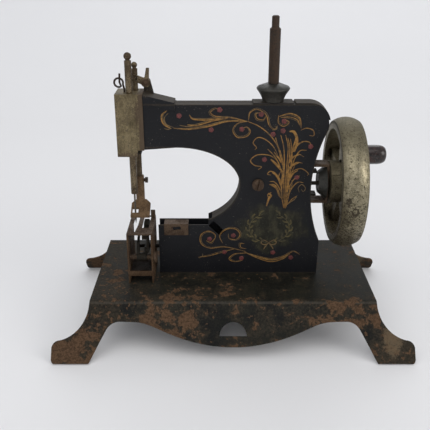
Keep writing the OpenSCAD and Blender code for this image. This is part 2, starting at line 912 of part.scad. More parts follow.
module lifter_rivet() {
    head_h = 0.7;
    color(steel)
    on_plate()
    translate([lift_x, 0, lift_h]) {
        rod_along_y(lifter_y - head_h - 0.1, lifter_y - 0.1, lifter_rivet_r + 0.7);
        rod_along_y(lifter_y - 0.1, ear_y + ear_t, lifter_rivet_r);
        rod_along_y(ear_y + ear_t, ear_y + ear_t + head_h, lifter_rivet_r + 0.7);
    }
}

// Hand wheel: channel rim, spokes and hub in one casting
module rim_section() {
    crown = 2;
    crown_r = (pow(rim_w / 2, 2) + pow(crown, 2)) / (2 * crown);
    difference() {
        intersection() {
            translate([wheel_r - rim_d, 0]) square([rim_d, rim_w]);
            translate([wheel_r - crown_r, rim_w / 2]) circle(crown_r, $fn = 120);
        }
        translate([wheel_r - rim_d - cut, rim_wall]) square([rim_d + cut - rim_wall - crown / 2, rim_w - 2 * rim_wall]);
    }
}

module hand_wheel() {
    root_w = 9;
    end_w = 6.4;
    spoke_end = wheel_r - rim_wall + 0.2;
    color(nickel)
    on_axis()
    difference() {
        union() {
            translate([wheel_x, 0, 0]) rotate([0, 90, 0]) rotate_extrude($fn = 120) rim_section();
            rod_along_x(hub_left, wheel_x + hub_len, hub_r);
            for (k = [0:spokes - 1])
                rotate([knob_angle + 360 * k / spokes, 0, 0])
                plank(wheel_x + spoke_x, wheel_x + spoke_x + spoke_t)
                    polygon([[hub_r - 2, -root_w / 2], [spoke_end, -end_w / 2],
                        [spoke_end, end_w / 2], [hub_r - 2, root_w / 2]]);
            rotate([knob_angle, 0, 0]) translate([0, knob_orbit, 0])
                rod_along_x(wheel_x + spoke_x, stud_seat, stud_r + stud_collar);
        }
        rod_along_x(hub_left - cut, wheel_x + hub_len + cut, shaft_r);
        translate([wheel_x + hub_len / 2, 0, 0]) cylinder(h = hub_r + cut, r = hub_screw_r);
        rotate([knob_angle, 0, 0]) translate([0, knob_orbit, 0])
            rod_along_x(wheel_x + spoke_x, stud_seat + cut, stud_r);
    }
}

module main_shaft() {
    end = wheel_x + hub_len + 1.4;
    color(steel)
    on_axis()
    rod_along_x(crank_disc_x + 0.8, end, shaft_r);
}

module crank() {
    color(steel)
    on_axis()
    difference() {
        union() {
            rod_along_x(crank_disc_x, crank_disc_x + crank_disc_t, crank_disc_r);
            translate([0, -crank_e, 0]) rod_along_x(crank_left, crank_disc_x, crank_pin_r);
        }
        rod_along_x(crank_disc_x + 0.8, crank_disc_x + crank_disc_t + cut, shaft_r);
    }
}

module hub_screw() {
    color(steel)
    on_axis()
    translate([wheel_x + hub_len / 2, 0, 0])
    difference() {
        translate([0, 0, shaft_r]) cylinder(h = hub_r - shaft_r + 0.4, r = hub_screw_r);
        block(-2, 2, -0.3, 0.3, hub_r - 0.4, hub_r + cut);
        rod_along_x(-4, 4, shaft_r);
    }
}

// Knob that turns on its stud
module knob_stud() {
    color(steel)
    at_knob() {
        rod_along_x(wheel_x + spoke_x, stud_end, stud_r);
        rod_along_x(stud_seat, knob_x - stud_gap, stud_r + stud_collar);
        rod_along_x(stud_end - stud_head_t, stud_end, stud_head_r);
    }
}

module handle_knob() {
    end_r = knob_r - 1.8;
    sag = knob_r - end_r;
    barrel_r = (pow(knob_len / 2, 2) + pow(sag, 2)) / (2 * sag);
    recess = stud_inset + stud_head_t + stud_gap;
    color(wood)
    at_knob()
    translate([knob_x, 0, 0])
    rotate([0, 90, 0])
    difference() {
        rotate_extrude()
        intersection() {
            square([knob_r, knob_len]);
            translate([knob_r - barrel_r, knob_len / 2]) circle(barrel_r, $fn = 120);
        }
        translate([0, 0, -cut]) cylinder(h = knob_len + 2 * cut, r = stud_r + run_clr);
        translate([0, 0, knob_len - recess]) cylinder(h = recess + cut, r = stud_head_r + 0.3);
    }
}

// Rocker: one stamped plate with three arms and a bent fork
module rocker_plate() {
    arm_w = rocker_arm_w;
    slot_h = 2 * (drive_pin_r + slot_clr);
    tip_x = needle_x - 3.4;
    elbow = [elbow_x, drive_h - elbow_drop];
    shoulder = [shoulder_x, drive_h - 1];
    knee = [elbow_x, axis_h - knee_drop];
    heel = [heel_x, looper_h + heel_rise];
    split = [bracket_web_right - 4.5, axis_h];
    root_x = bracket_web_right + 0.8;
    difference() {
        union() {
            translate([pivot_x, axis_h]) circle(pivot_r + boss_wall + 2);
            link([pivot_x, axis_h], elbow, arm_w);
            link(elbow, shoulder, arm_w);
            link(shoulder, [needle_x + 8, drive_h], arm_w);
            translate([tip_x, drive_h - slot_h / 2 - 2]) square([needle_x + 8 - tip_x, slot_h + 4]);
            link([pivot_x, axis_h], knee, arm_w);
            link(knee, heel, arm_w);
            link(heel, [lower_end, looper_h], arm_w);
            link([pivot_x, axis_h], split, arm_w);
            for (s = [-1, 1]) {
                link(split, [root_x, axis_h + s * (fork_half - 0.5)], 2.6);
                translate([root_x - 0.5, axis_h + s * (fork_half + tongue_t / 2) - tongue_t / 2])
                    square([tail_x + tongue_w / 2 - root_x + 0.5, tongue_t]);
            }
        }
        translate([tip_x - cut, drive_h - slot_h / 2]) square([needle_x + 4.4 - tip_x + cut, slot_h]);
        translate([pivot_x, axis_h]) circle(pivot_r + boss_wall);
    }
}

module rocker_lever() {
    color(steel)
    on_plate() {
        slab(rocker_y, rocker_y + rocker_t) rocker_plate();
        for (z = [fork_half, -fork_half - tongue_t])
            block(tail_x - tongue_w / 2, tail_x + tongue_w / 2, -crank_e - crank_pin_r, rocker_y + rocker_t,
                axis_h + z, axis_h + z + tongue_t);
    }
}

module rocker_hub() {
    color(steel)
    on_axis()
    translate([pivot_x, 0, 0])
    difference() {
        rod_along_y(-inner_y + side_clr, inner_y - side_clr, pivot_r + boss_wall);
        rod_along_y(-half_t, half_t, pivot_r + run_clr);
    }
}

// Rod on the lower arm's end that works the looper
module looper_rod() {
    rod_end = box_in_left + rod_throw * (axis_h - looper_h) / (pivot_x - looper_x) + side_clr;
    color(steel)
    on_plate()
    translate([0, rod_y, looper_h])
    rod_along_x(rod_end, lower_end - (rocker_arm_w + link_swell) / 2, rod_r);
}

// Needle bar with its finial, driving collar, needle and clamp screw
module needle_bar() {
    top = face_top + needle_rise;
    color(steel)
    at_needle() {
        translate([0, 0, needle_bar_h]) cylinder(h = top - needle_bar_h, r = needle_bar_r);
        translate([0, 0, top]) cylinder(h = 1.4, r = needle_bar_r - 0.6);
        translate([0, 0, top + 2]) sphere(r = needle_bar_r + 0.15);
    }
}

module drive_collar() {
    half = 2.5;
    color(steel)
    at_needle()
    difference() {
        union() {
            translate([0, 0, drive_h - half]) cylinder(h = 2 * half, r = collar_r);
            translate([0, 0, drive_h])
                rod_along_y(0, rocker_y + rocker_t - needle_y + 0.4, drive_pin_r);
        }
        translate([0, 0, drive_h - half - cut]) cylinder(h = 2 * half + 2 * cut, r = needle_bar_r);
    }
}

module needle() {
    point = 2.4;
    color(nickel)
    at_needle() {
        translate([0, 0, needle_bar_h - needle_len + point]) cylinder(h = needle_len - point, r = needle_r);
        translate([0, 0, needle_bar_h - needle_len]) cylinder(h = point, r1 = 0.05, r2 = needle_r);
    }
}

module needle_screw() {
    screw_z = needle_bar_h + 2.6;
    color(steel)
    at_needle()
    translate([0, 0, screw_z])
    difference() {
        rod_along_y(-needle_bar_r - 1.6, 0, 1);
        translate([0, 0, -2]) cylinder(h = 4, r = needle_bar_r);
    }
}

// Presser bar with its finial, foot, collar, spring and lifting pin
module presser_bar() {
    top = face_top + presser_rise;
    color(steel)
    at_presser()
    difference() {
        union() {
            translate([0, 0, presser_bar_h]) cylinder(h = top - presser_bar_h, r = presser_bar_r);
            translate([0, 0, top]) cylinder(h = 1.2, r = presser_bar_r - 0.5);
            translate([0, 0, top + 1.8]) sphere(r = presser_bar_r);
        }
        translate([0, 0, lift_h + lift_drop / 2]) rod_along_y(-presser_bar_r - cut, presser_bar_r + cut, lift_pin_r);
    }
}

module presser_foot() {
    front = needle_y - 3.4;
    back = presser_y - 0.2;
    mid_x = presser_x + 0.5;
    chamfer = 2.4;
    z0 = plate_top + foot_lift;
    z1 = sole_h;
    color(rust)
    on_plate()
    difference() {
        union() {
            intersection() {
                plank(mid_x - foot_w / 2, mid_x + foot_w / 2)
                    polygon([[front, z0], [back, z1], [back, z1 + sole_t], [front, z0 + sole_t]]);
                translate([mid_x, 0, 0])
                linear_extrude(z1 + 2 * sole_t)
                    polygon([[-foot_w / 2, front], [foot_w / 2, front], [foot_w / 2, back - chamfer],
                        [foot_w / 2 - chamfer, back], [chamfer - foot_w / 2, back], [-foot_w / 2, back - chamfer]]);
            }
            translate([presser_x, presser_y, z1 - sole_t])
                cylinder(h = sleeve_top - z1 + sole_t, r = sleeve_r);
        }
        translate([presser_x, presser_y, presser_bar_h])
            cylinder(h = sleeve_top - presser_bar_h + cut, r = presser_bar_r);
        translate([needle_x, needle_y, z0 - cut])
            translate([-sole_hole / 2, -sole_hole / 2, 0]) cube([sole_hole, sole_hole, sole_rise + 2 * sole_t]);
        translate([presser_x, presser_y, foot_screw_h]) rod_along_x(0, sleeve_r + cut, 0.9);
    }
}

module foot_screw() {
    color(steel)
    at_presser()
    translate([0, 0, foot_screw_h])
    difference() {
        union() {
            rod_along_x(0, sleeve_r + 0.6, 0.9);
            rod_along_x(sleeve_r + 0.6, sleeve_r + 2, 1.5);
        }
        translate([0, 0, -2]) cylinder(h = 4, r = presser_bar_r);
    }
}

module presser_collar() {
    color(steel)
    at_presser()
    translate([0, 0, presser_collar_h])
    difference() {
        cylinder(h = collar_h, r = collar_r);
        translate([0, 0, -cut]) cylinder(h = collar_h + 2 * cut, r = presser_bar_r);
    }
}

module lift_pin() {
    color(steel)
    at_presser()
    translate([0, 0, lift_h + lift_drop / 2])
    rod_along_y(lifter_y - 0.3 - presser_y, presser_bar_r, lift_pin_r);
}

// Spring between the collar and the upper guide
module presser_spring() {
    rings = 8 * spring_turns;
    path = [for (k = [0:rings])
        let (a = 360 * k / 8)
        [spring_r * cos(a), spring_r * sin(a), spring_z0 + (spring_z1 - spring_z0) * k / rings]];
    gap = (spring_z1 - spring_z0) / spring_turns - 2 * spring_wire_r;
    echo(spring_gap = gap);
    color(steel) at_presser() tube(path, spring_wire_r, 6, [0, 0, 1]);
}

// Looper: boss on the pivot screw, slotted crank arm, hook and feed finger
module looper() {
    slot_h = 2 * (rod_r + slot_clr);
    reach = looper_arm / cos(looper_swing) + rod_r + 0.6;
    arm_h2 = slot_h / 2 + 1.3;
    color(steel)
    on_plate()
    translate([0, looper_y, looper_h])
    difference() {
        union() {
            rod_along_x(hook_x, feed_leg_x - 0.3, boss_r);
            plank(looper_x - looper_t / 2, looper_x + looper_t / 2)
                translate([0, -arm_h2]) square([reach, 2 * arm_h2]);
            plank(hook_x, hook_x + looper_t) {
                link([0, 0], [hook_knee_y, hook_knee_z], 3 * hook_w);
                link([hook_knee_y, hook_knee_z], [hook_bend_y, hook_bend_z], 2 * hook_w);
                link([hook_bend_y, hook_bend_z], [hook_tip_y, hook_tip_z], hook_w);
            }
            plank(feed_leg_x - 1.3, feed_leg_x - 0.3)
                link([0, 0], [0, feed_reach], 2 * finger_r + 0.6);
            translate([0, 0, feed_reach]) rod_along_x(feed_leg_x - 1.3, feed_leg_x + feed_leg_t, finger_r);
        }
        rod_along_x(hook_x - cut, feed_leg_x + cut, looper_pin_r + run_clr);
        plank(looper_x - looper_t, looper_x + looper_t)
            translate([looper_arm - 3, -slot_h / 2]) square([reach, slot_h]);
    }
}

// Toothed feed bar with the leg that the looper's finger moves
module feed_dog() {
    back = 6;
    front = -14.4;
    tooth = 1;
    teeth = 6;
    leg_w = 4.4;
    slot_w = 2 * (finger_r + slot_clr);
    leg_bottom = looper_h + feed_reach - finger_r - 0.4;
    color(steel)
    on_plate()
    difference() {
        union() {
            block(feed_x, feed_x + feed_w, front, back, feed_top - feed_bar_t, feed_top);
            plank(feed_x, feed_x + feed_w)
                polygon(concat([[-3, feed_top - cut]],
                    [for (k = [0:teeth - 1]) each [[-3 + k * tooth, plate_top - 0.2], [-2 + k * tooth, plate_top + 0.3]]],
                    [[-3 + teeth * tooth, feed_top - cut]]));
            block(feed_leg_x, feed_leg_x + feed_leg_t, looper_y - leg_w / 2, looper_y + leg_w / 2, leg_bottom,
                feed_top);
            block(feed_x, feed_leg_x + feed_leg_t, looper_y - leg_w / 2, looper_y + leg_w / 2,
                feed_top - feed_bar_t, feed_top);
        }
        block(feed_leg_x - cut, feed_leg_x + feed_leg_t + cut, looper_y - slot_w / 2, looper_y + slot_w / 2,
            leg_bottom - cut, looper_h + feed_reach + finger_r + 0.4);
    }
}

// Lever that lifts the presser bar by its pin
module lifter_lever() {
    handle_len = 7;
    body = lift_slot + 2 * lift_prong;
    slot_len = 2.7;
    y0 = lifter_y;
    y1 = lifter_y + lifter_t;
    color(steel)
    on_plate()
    translate([lift_x, 0, lift_h])
    difference() {
        union() {
            rod_along_y(y0, y1, lifter_boss_r);
            slab(y0, y1) polygon([[-1.6, 0], [0.4, handle_len], [2, handle_len], [1.8, 0]]);
            slab(y0, y1) rotate(-lift_angle) translate([-lift_nose, -body / 2]) square([lift_nose, body]);
        }
        rod_along_y(y0 - cut, y1 + cut, lifter_rivet_r + run_clr);
        slab(y0 - cut, y1 + cut)
            rotate(-lift_angle) translate([-lift_nose - cut, -lift_slot / 2]) square([slot_len + cut, lift_slot]);
    }
}

base_stand();
head_front_panel();
head_rear_panel();
top_strap();
corner_strip();
nose_cover();
face_cover();
upper_bar_guide();
lower_bar_guide();
spool_flange();
spool_pin();
spool_nut();
pivot_screw();
pivot_nut();
bearing_bracket();
bracket_rivets();
shaft_bush();
bearing_bell();
looper_box();
needle_plate();
looper_pivot_screw();
feed_guide();
bed_clip();
cloth_guide();
thread_guide();
lifter_rivet();
hand_wheel();
main_shaft();
crank();
hub_screw();
knob_stud();
handle_knob();
rocker_lever();
rocker_hub();
looper_rod();
needle_bar();
drive_collar();
needle();
needle_screw();
presser_bar();
presser_foot();
foot_screw();
presser_collar();
lift_pin();
presser_spring();
looper();
feed_dog();
lifter_lever();
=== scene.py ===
# %% [markdown]
# # A toy sewing machine
# The machine is folded from sheet metal, stove-enamelled black and gilded with
# scrolls. The CAD frame gives every piece its place and its motion. This lesson
# dresses that frame: it rounds the sheet's edges, bends the base as one smooth
# sheet, paints the ornament as thin strokes and gives every metal its wear.

# %% Load the frame
import json
import math

import bmesh
import bpy
import numpy as np
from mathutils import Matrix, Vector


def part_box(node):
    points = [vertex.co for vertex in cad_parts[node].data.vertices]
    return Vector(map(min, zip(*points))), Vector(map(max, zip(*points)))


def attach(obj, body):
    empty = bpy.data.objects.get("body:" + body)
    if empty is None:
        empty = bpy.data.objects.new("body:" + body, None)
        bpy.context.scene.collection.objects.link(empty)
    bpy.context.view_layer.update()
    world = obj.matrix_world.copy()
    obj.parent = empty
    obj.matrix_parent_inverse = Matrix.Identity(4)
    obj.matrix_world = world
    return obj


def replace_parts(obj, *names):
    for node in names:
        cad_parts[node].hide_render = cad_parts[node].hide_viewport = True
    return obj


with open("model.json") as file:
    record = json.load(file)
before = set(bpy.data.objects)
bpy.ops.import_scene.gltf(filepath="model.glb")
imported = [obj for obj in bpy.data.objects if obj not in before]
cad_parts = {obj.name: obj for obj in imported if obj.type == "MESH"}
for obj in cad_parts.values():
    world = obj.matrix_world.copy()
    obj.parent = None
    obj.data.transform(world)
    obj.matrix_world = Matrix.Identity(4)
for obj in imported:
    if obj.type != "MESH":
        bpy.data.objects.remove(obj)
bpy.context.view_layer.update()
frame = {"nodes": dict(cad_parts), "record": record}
nodes = frame["nodes"]

# %% [markdown]
# ## Camera
# The photograph was taken from the front, a little above the machine. The lens
# was worked out from the base's corners, so the render lines up with it.

# %% Camera
PHOTO_PIXELS, FOCAL_PIXELS, SENSOR = 430, 635.8, 36
CAMERA_AT = (-0.00909, -0.31225, 0.19407)
CAMERA_DOWN = 23.371


def add_object(name, data):
    """A new object at the origin, linked to the scene."""
    made = bpy.data.objects.new(name, data)
    bpy.context.scene.collection.objects.link(made)
    return made


lens = bpy.data.cameras.new("photo_camera")
lens.sensor_width = SENSOR
lens.lens = SENSOR * FOCAL_PIXELS / PHOTO_PIXELS
lens.clip_start = 0.01
camera = add_object("photo_camera", lens)
camera.location = CAMERA_AT
camera.rotation_euler = (math.radians(90 - CAMERA_DOWN), 0, 0)
bpy.context.scene.camera = camera
print("lens", round(lens.lens, 2), "mm")

# %% [markdown]
# ## Grids
# Nearly every new piece here is a surface of two parameters. `grid_faces` works
# out the faces of such a grid from index arrays, so no loop visits a single
# vertex. `new_piece` makes the object and lets it ride on a body of the frame,
# and `tidy_mesh` closes the seams between grids.

# %% Grid helper
MM = 0.001


def grid_faces(rows, cols, wrap_rows=False, wrap_cols=False):
    """Quads of a rows x cols grid: a point, its right, its upper right and its upper neighbour."""
    i = np.arange(rows if wrap_rows else rows - 1)
    j = np.arange(cols if wrap_cols else cols - 1)
    i, j = (g.ravel() for g in np.meshgrid(i, j, indexing="ij"))
    up, right = (i + 1) % rows, (j + 1) % cols
    return np.stack([i * cols + j, i * cols + right, up * cols + right, up * cols + j], 1)


def new_piece(name, points, faces, body, slot, material):
    """A smooth object from points in millimetres and face index arrays, riding on a body."""
    mesh = bpy.data.meshes.new(name)
    faces = [np.asarray(f).tolist() for f in faces]
    mesh.from_pydata((np.asarray(points) * MM).tolist(), [], faces)
    mesh.shade_smooth()
    mesh.materials.append(material)
    piece = add_object(name, mesh)
    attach(piece, body)
    return piece


def tidy_mesh(mesh, merge=1e-6, flat=None):
    """Merge doubled points; then join faces within flat degrees of one plane, or turn all outwards.

    A copy of a CAD node already points outwards, so only its flat faces are joined."""
    work = bmesh.new()
    work.from_mesh(mesh)
    bmesh.ops.remove_doubles(work, verts=work.verts, dist=merge)
    if flat is None:
        bmesh.ops.recalc_face_normals(work, faces=work.faces)
    else:
        limit = math.radians(flat)
        bmesh.ops.dissolve_limit(work, angle_limit=limit, verts=work.verts, edges=work.edges)
    work.to_mesh(mesh)
    work.free()


print("a grid of 3 x 4 points has", len(grid_faces(3, 4)), "faces")

# %% [markdown]
# ## Shader expressions
# A finish is a formula over the surface: noise, distance to an edge, height.
# `Shade` wraps one socket and overloads arithmetic, so that a formula in Python
# becomes Math nodes. Every other node comes from its one method `node`.

# %% Shader expressions
def join_by(operation, swapped=False):
    """A method that joins two values by a Math node of that operation."""

    def method(self, other):
        return self.math(operation, *((other, self) if swapped else (self, other)))

    return method


class Shade:
    """A socket of a material, written as an expression."""

    def __init__(self, tree, socket=None):
        self.tree = tree
        self.socket = socket

    def node(self, kind, settings=None, inputs=None, out=0):
        """Add a node of that kind: settings first, then values or links of its sockets."""
        made = self.tree.nodes.new(kind)
        for key, value in (settings or {}).items():
            setattr(made, key, value)
        for key, value in (inputs or {}).items():
            if isinstance(value, Shade):
                self.tree.links.new(value.socket, made.inputs[key])
            else:
                made.inputs[key].default_value = value
        return Shade(self.tree, made.outputs[out])

    def math(self, operation, *values):
        return self.node("ShaderNodeMath", {"operation": operation}, dict(enumerate(values)))

    __add__ = __radd__ = join_by("ADD")
    __mul__ = __rmul__ = join_by("MULTIPLY")
    __sub__, __rsub__ = join_by("SUBTRACT"), join_by("SUBTRACT", True)
    __truediv__ = join_by("DIVIDE")
    least, most = join_by("MINIMUM"), join_by("MAXIMUM")

    def root(self):
        return self.math("SQRT", self)

    def size(self):
        return self.math("ABSOLUTE", self)

    def ease(self, low, high):
        """0 below low, 1 above high, smooth between; reversed where low is the larger."""
        turn = low > high
        settings = {"interpolation_type": "SMOOTHSTEP", "clamp": True}
        inputs = {
            "Value": self, "From Min": min(low, high), "From Max": max(low, high),
            "To Min": float(turn), "To Max": 1.0 - turn,
        }
        return self.node("ShaderNodeMapRange", settings, inputs)

    def axes(self):
        """The three parts of a vector."""
        split = self.node("ShaderNodeSeparateXYZ", inputs={0: self}).socket.node
        return [Shade(self.tree, s) for s in split.outputs]

    def millimetres(self):
        """The three parts of a place in metres, in millimetres."""
        return [part * (1 / MM) for part in self.axes()]

    def facing(self):
        """How far the surface looks to the right, to the back and up: the parts of its normal."""
        return self.node("ShaderNodeTexCoord", out="Normal").axes()

    def noise(self, per_mm, detail=4.0, rough=0.55, warp=0.0):
        """Cloudy noise around 0.5, about per_mm cells a millimetre; self is a place in metres."""
        inputs = {
            "Vector": self, "Scale": per_mm / MM,
            "Detail": detail, "Roughness": rough, "Distortion": warp,
        }
        return self.node("ShaderNodeTexNoise", inputs=inputs)

    def stretched(self, x, y, z):
        """The place with its three axes scaled, for grain that runs one way."""
        return self.node("ShaderNodeVectorMath", {"operation": "MULTIPLY"}, {0: self, 1: (x, y, z)})

    def mix(self, below, above):
        """Colour below where self is 0 and above where it is 1."""
        below, above = (c if isinstance(c, Shade) else (*c, 1) for c in (below, above))
        return self.node("ShaderNodeMix", {"data_type": "RGBA"}, {0: self, 6: below, 7: above}, 2)

    def bump(self, height, strength):
        """A normal tilted by the height's slope; height is in millimetres."""
        inputs = {"Strength": strength, "Distance": MM, "Height": height}
        return self.node("ShaderNodeBump", inputs=inputs)


print("Shade has", sum(not key.startswith("_") for key in vars(Shade)), "named steps")

# %% Start and keep a finish
finish = {}


def start_finish(name):
    """A new material: the function that fills its shader's sockets, and its Object coordinates."""
    made = bpy.data.materials.new(name)
    made.use_nodes = True
    tree = made.node_tree
    shader = tree.nodes["Principled BSDF"]

    def fill(**sockets):
        for key, value in sockets.items():
            socket = shader.inputs[key.replace("_", " ")]
            if isinstance(value, Shade):
                tree.links.new(value.socket, socket)
            else:
                socket.default_value = value
        return made

    return fill, Shade(tree).node("ShaderNodeTexCoord", out="Object")


def keep(key, material):
    """Keep a finish under a short key, and say how many nodes it took."""
    finish[key] = material
    print(material.name, len(material.node_tree.nodes), "nodes")

# %% [markdown]
# ## Head enamel
# The head is black stove enamel, a little blue, rubbed through to brown steel
# along its edges and dusty on the faces that look up. The distance to the edge
# is worked out from the head's own outline: the arm's top, the throat's
# half-ellipse and the waist's circle. A soft greenish stain marks the worn
# place low on the column.

# %% Head outline
BASE_TOP = 27.4
ARM_TOP = BASE_TOP + 93
THROAT_X, THROAT_Z = -28.5, BASE_TOP + 51.6
THROAT_REACH, THROAT_RISE, THROAT_DROP, THROAT_MEAN = 32.0, 19.5, 23.0, 21.0
WAIST_X, WAIST_R, WAIST_Z = 40.4, 75.9, BASE_TOP + 48.7


def head_edge_distance(x, z):
    """Millimetres from a point of the head's face to the nearest painted edge."""
    out = (x - THROAT_X).most(0.0) / THROAT_REACH
    above = (z - THROAT_Z).most(0.0) / THROAT_RISE
    under = (THROAT_Z - z).most(0.0) / THROAT_DROP
    throat = ((out * out + above * above + under * under).root() - 1.0) * THROAT_MEAN
    dx, dz = x - (WAIST_X + WAIST_R), z - WAIST_Z
    waist = (dx * dx + dz * dz).root() - WAIST_R
    return throat.size().least(waist.size()).least((ARM_TOP - z).size()).least(z - BASE_TOP)


def off_centre(x, y, cx, cy, rx, ry):
    """Square of the distance from (cx, cy), measured in the ellipse's radii rx and ry."""
    dx, dy = (x - cx) / rx, (y - cy) / ry
    return dx * dx + dy * dy


print("head from", BASE_TOP, "to", ARM_TOP, "mm")

# %% Head enamel
STAIN = (21.0, 53.5, 16.5, 12.5)
EAR_LOW, EAR_HIGH = ARM_TOP + 3.0, ARM_TOP + 4.5
HEAD_BLACK = (0.0042, 0.0046, 0.0062), (0.0085, 0.0088, 0.0105)
SCUFFED = (0.016, 0.0155, 0.0148)
STAIN_OLIVE = (0.012, 0.0118, 0.0072), (0.044, 0.0405, 0.0225)
EDGE_BROWN = (0.026, 0.0205, 0.0145), (0.05, 0.039, 0.0265)
CHIPPED = (0.13, 0.116, 0.094)


def head_enamel(name, bare):
    """Black enamel; bare is the share that has gone evenly, apart from the edges."""
    fill, place = start_finish(name)
    x, _, z = place.millimetres()
    _, back, up = place.facing()
    cloud = place.noise(0.05, 5.0, 0.6)
    grain = place.noise(0.8, 6.0, 0.65)
    fleck = place.noise(1.7, 2.0)
    edge = head_edge_distance(x, z) + (grain - 0.5) * 2.2
    dust = up.ease(0.35, 0.8) * (0.55 + 0.45 * grain.ease(0.35, 0.6))
    dust = dust * z.ease(ARM_TOP - 8, ARM_TOP - 2).most(0.35)
    chips = (fleck + cloud * 0.25).ease(0.835, 0.87)
    scuff = place.stretched(1, 1, 3.2).noise(0.22, 5.0, 0.7).ease(0.56, 0.72) * 0.5
    stain = off_centre(x, z, *STAIN).root() + (place.noise(0.13, 6.0, 0.7) - 0.5) * 1.9
    stain = stain.ease(1.2, 0.75) * back.ease(-0.5, -0.9) * 0.85
    streak = place.stretched(1.3, 1, 0.6).noise(0.28, 6.0, 0.72)
    gone = (cloud * 0.5 + grain * 0.5 + (bare - 0.5)).ease(0.42, 0.6)
    ear = z.ease(EAR_LOW, EAR_HIGH) * (0.55 + 0.45 * gone)
    worn = edge.ease(0.75, 0.05) * 0.75
    worn = worn.most((gone * up.ease(0.1, 0.5)).most(ear) * min(1.0, 2 * bare))
    black = scuff.mix(cloud.mix(*HEAD_BLACK), SCUFFED)
    colour = stain.mix(black, streak.ease(0.4, 0.65).mix(*STAIN_OLIVE))
    colour = worn.most(dust).mix(colour, grain.ease(0.4, 0.62).mix(*EDGE_BROWN))
    height = grain * 0.05 - chips * 0.06 + cloud * 0.25 - worn * 0.05
    return fill(
        Base_Color=chips.mix(colour, CHIPPED),
        Roughness=0.36 + 0.2 * grain + 0.25 * worn.most(dust) + 0.12 * stain,
        Normal=place.bump(height, 0.25),
        Specular_IOR_Level=0.2,
    )


keep("head", head_enamel("head_enamel", 0.0))
keep("saddle", head_enamel("worn_enamel", 0.45))

# %% [markdown]
# ## Base enamel
# The base has lost much of its enamel. Rust shows in flakes with crisp borders,
# most on the left, on the feet and along the front fold. One field of noise,
# raised where wear is likely, is cut at a level: that gives islands with sharp
# edges, as flaking paint has. Each rust pool says how much it raises the field,
# and where: its centre and radii on the plate.

# %% Base enamel
LOBE_H, LOBE_R, ARCH_H = 7.3, 93.0, 18.3
RUST_POOLS = [
    (0.085, (-32.0, -38.0, 25.0, 13.0)),
    (0.085, (-8.0, -25.0, 24.0, 6.0)),
    (0.045, (-60.0, -30.0, 16.0, 20.0)),
    (0.06, (52.0, -38.0, 26.0, 8.0)),
    (-0.05, (24.0, -24.0, 40.0, 13.0)),
]
# Where a painted highlight lies on the right foot's front: centre and radii.
FOOT_HIGHLIGHT_AT = (80.0, 11.0, 7.0, 11.0)
BASE_BLACK = (0.0045, 0.0049, 0.0049), (0.0165, 0.0162, 0.0115)
DUSTY, SPECKLED = (0.023, 0.0208, 0.0138), (0.07, 0.068, 0.056)
RUST_FILM = (0.0175, 0.0148, 0.0095), (0.044, 0.033, 0.0215)
RUST_FLAKE = (0.042, 0.0253, 0.015), (0.093, 0.0545, 0.031)
RUST_GRAIN = (0.132, 0.081, 0.047)
CREASED, FOOT_HIGHLIGHT = (0.075, 0.066, 0.052), (0.112, 0.082, 0.05)


def pool(x, y, *ellipse):
    """1 at the ellipse's centre, falling smoothly to 0 at its border."""
    return off_centre(x, y, *ellipse).ease(1.0, 0.0)


def base_enamel():
    """Black enamel with rust where noise, raised by the pools, feet and rim, passes a level, and a
    painted highlight on the right foot.
    """
    fill, place = start_finish("base_enamel")
    x, y, z = place.millimetres()
    _, back, up = place.facing()
    broad = place.noise(0.05, 6.0, 0.62, 0.4)
    flake = place.noise(0.14, 6.0, 0.56, 0.3)
    chip = place.noise(0.42, 4.0, 0.55, 0.2)
    fine = place.noise(0.9, 6.0, 0.7)
    grain = place.noise(2.2, 4.0, 0.7)
    lobe = (LOBE_H + LOBE_R) - (LOBE_R**2 - x * x).most(0.0).root()
    rim = (z - lobe.least(ARCH_H)).ease(4.5, 0.0)
    left = x.ease(-36.0, -76.0)
    foot = z.ease(16.0, 5.0) * (x.size() - 60.0).ease(0.0, 10.0)
    bias = left * 0.03 + foot * 0.025 + rim * 0.05 + left * foot * 0.05
    for share, ellipse in RUST_POOLS:
        bias = bias + pool(x, y, *ellipse) * share
    level = broad * 0.25 + flake * 0.75 + bias
    rust = (level + (fine - 0.5) * 0.06).ease(0.585, 0.6)
    rust = rust.most((chip + bias * 0.7 + (fine - 0.5) * 0.05).ease(0.655, 0.675))
    film = (level + (fine - 0.5) * 0.16 + left * 0.08 + foot * 0.12).ease(0.45, 0.6)
    dust = up.ease(0.93, 0.99) * (0.25 + 0.75 * fine.ease(0.35, 0.65)) * 0.4
    crease = (z - (BASE_TOP - 0.7)).size().ease(0.8, 0.2) * up.ease(0.97, 0.9)
    crease = crease * fine.ease(0.2, 0.5) * 0.35
    # Painted highlight: a lighter gold-brown patch on the right foot's front faces.
    foot_highlight = pool(x, z, *FOOT_HIGHLIGHT_AT) * back.ease(0.0, -0.5) * 0.45
    foot_highlight = (foot_highlight + fine - 0.5).ease(0.1, 0.5) * 0.85
    colour = (broad * 0.5 + fine * 0.5).ease(0.4, 0.62).mix(*BASE_BLACK)
    colour = dust.mix(colour, DUSTY)
    colour = (grain.ease(0.71, 0.76) * 0.6).mix(colour, SPECKLED)
    colour = (film * 0.65 + foot * 0.2).mix(colour, fine.ease(0.36, 0.64).mix(*RUST_FILM))
    colour = crease.mix(colour, CREASED)
    brown = grain.ease(0.6, 0.75).mix(fine.ease(0.36, 0.6).mix(*RUST_FLAKE), RUST_GRAIN)
    colour = rust.mix(colour, brown)
    height = grain * 0.06 + fine * 0.1 + rust * (fine * 0.3 - 0.3)
    return fill(
        Base_Color=foot_highlight.mix(colour, FOOT_HIGHLIGHT),
        Roughness=0.5 + 0.14 * fine + 0.24 * rust + 0.1 * film,
        Normal=place.bump(height, 0.4),
        Specular_IOR_Level=0.12,
    )


keep("base", base_enamel())

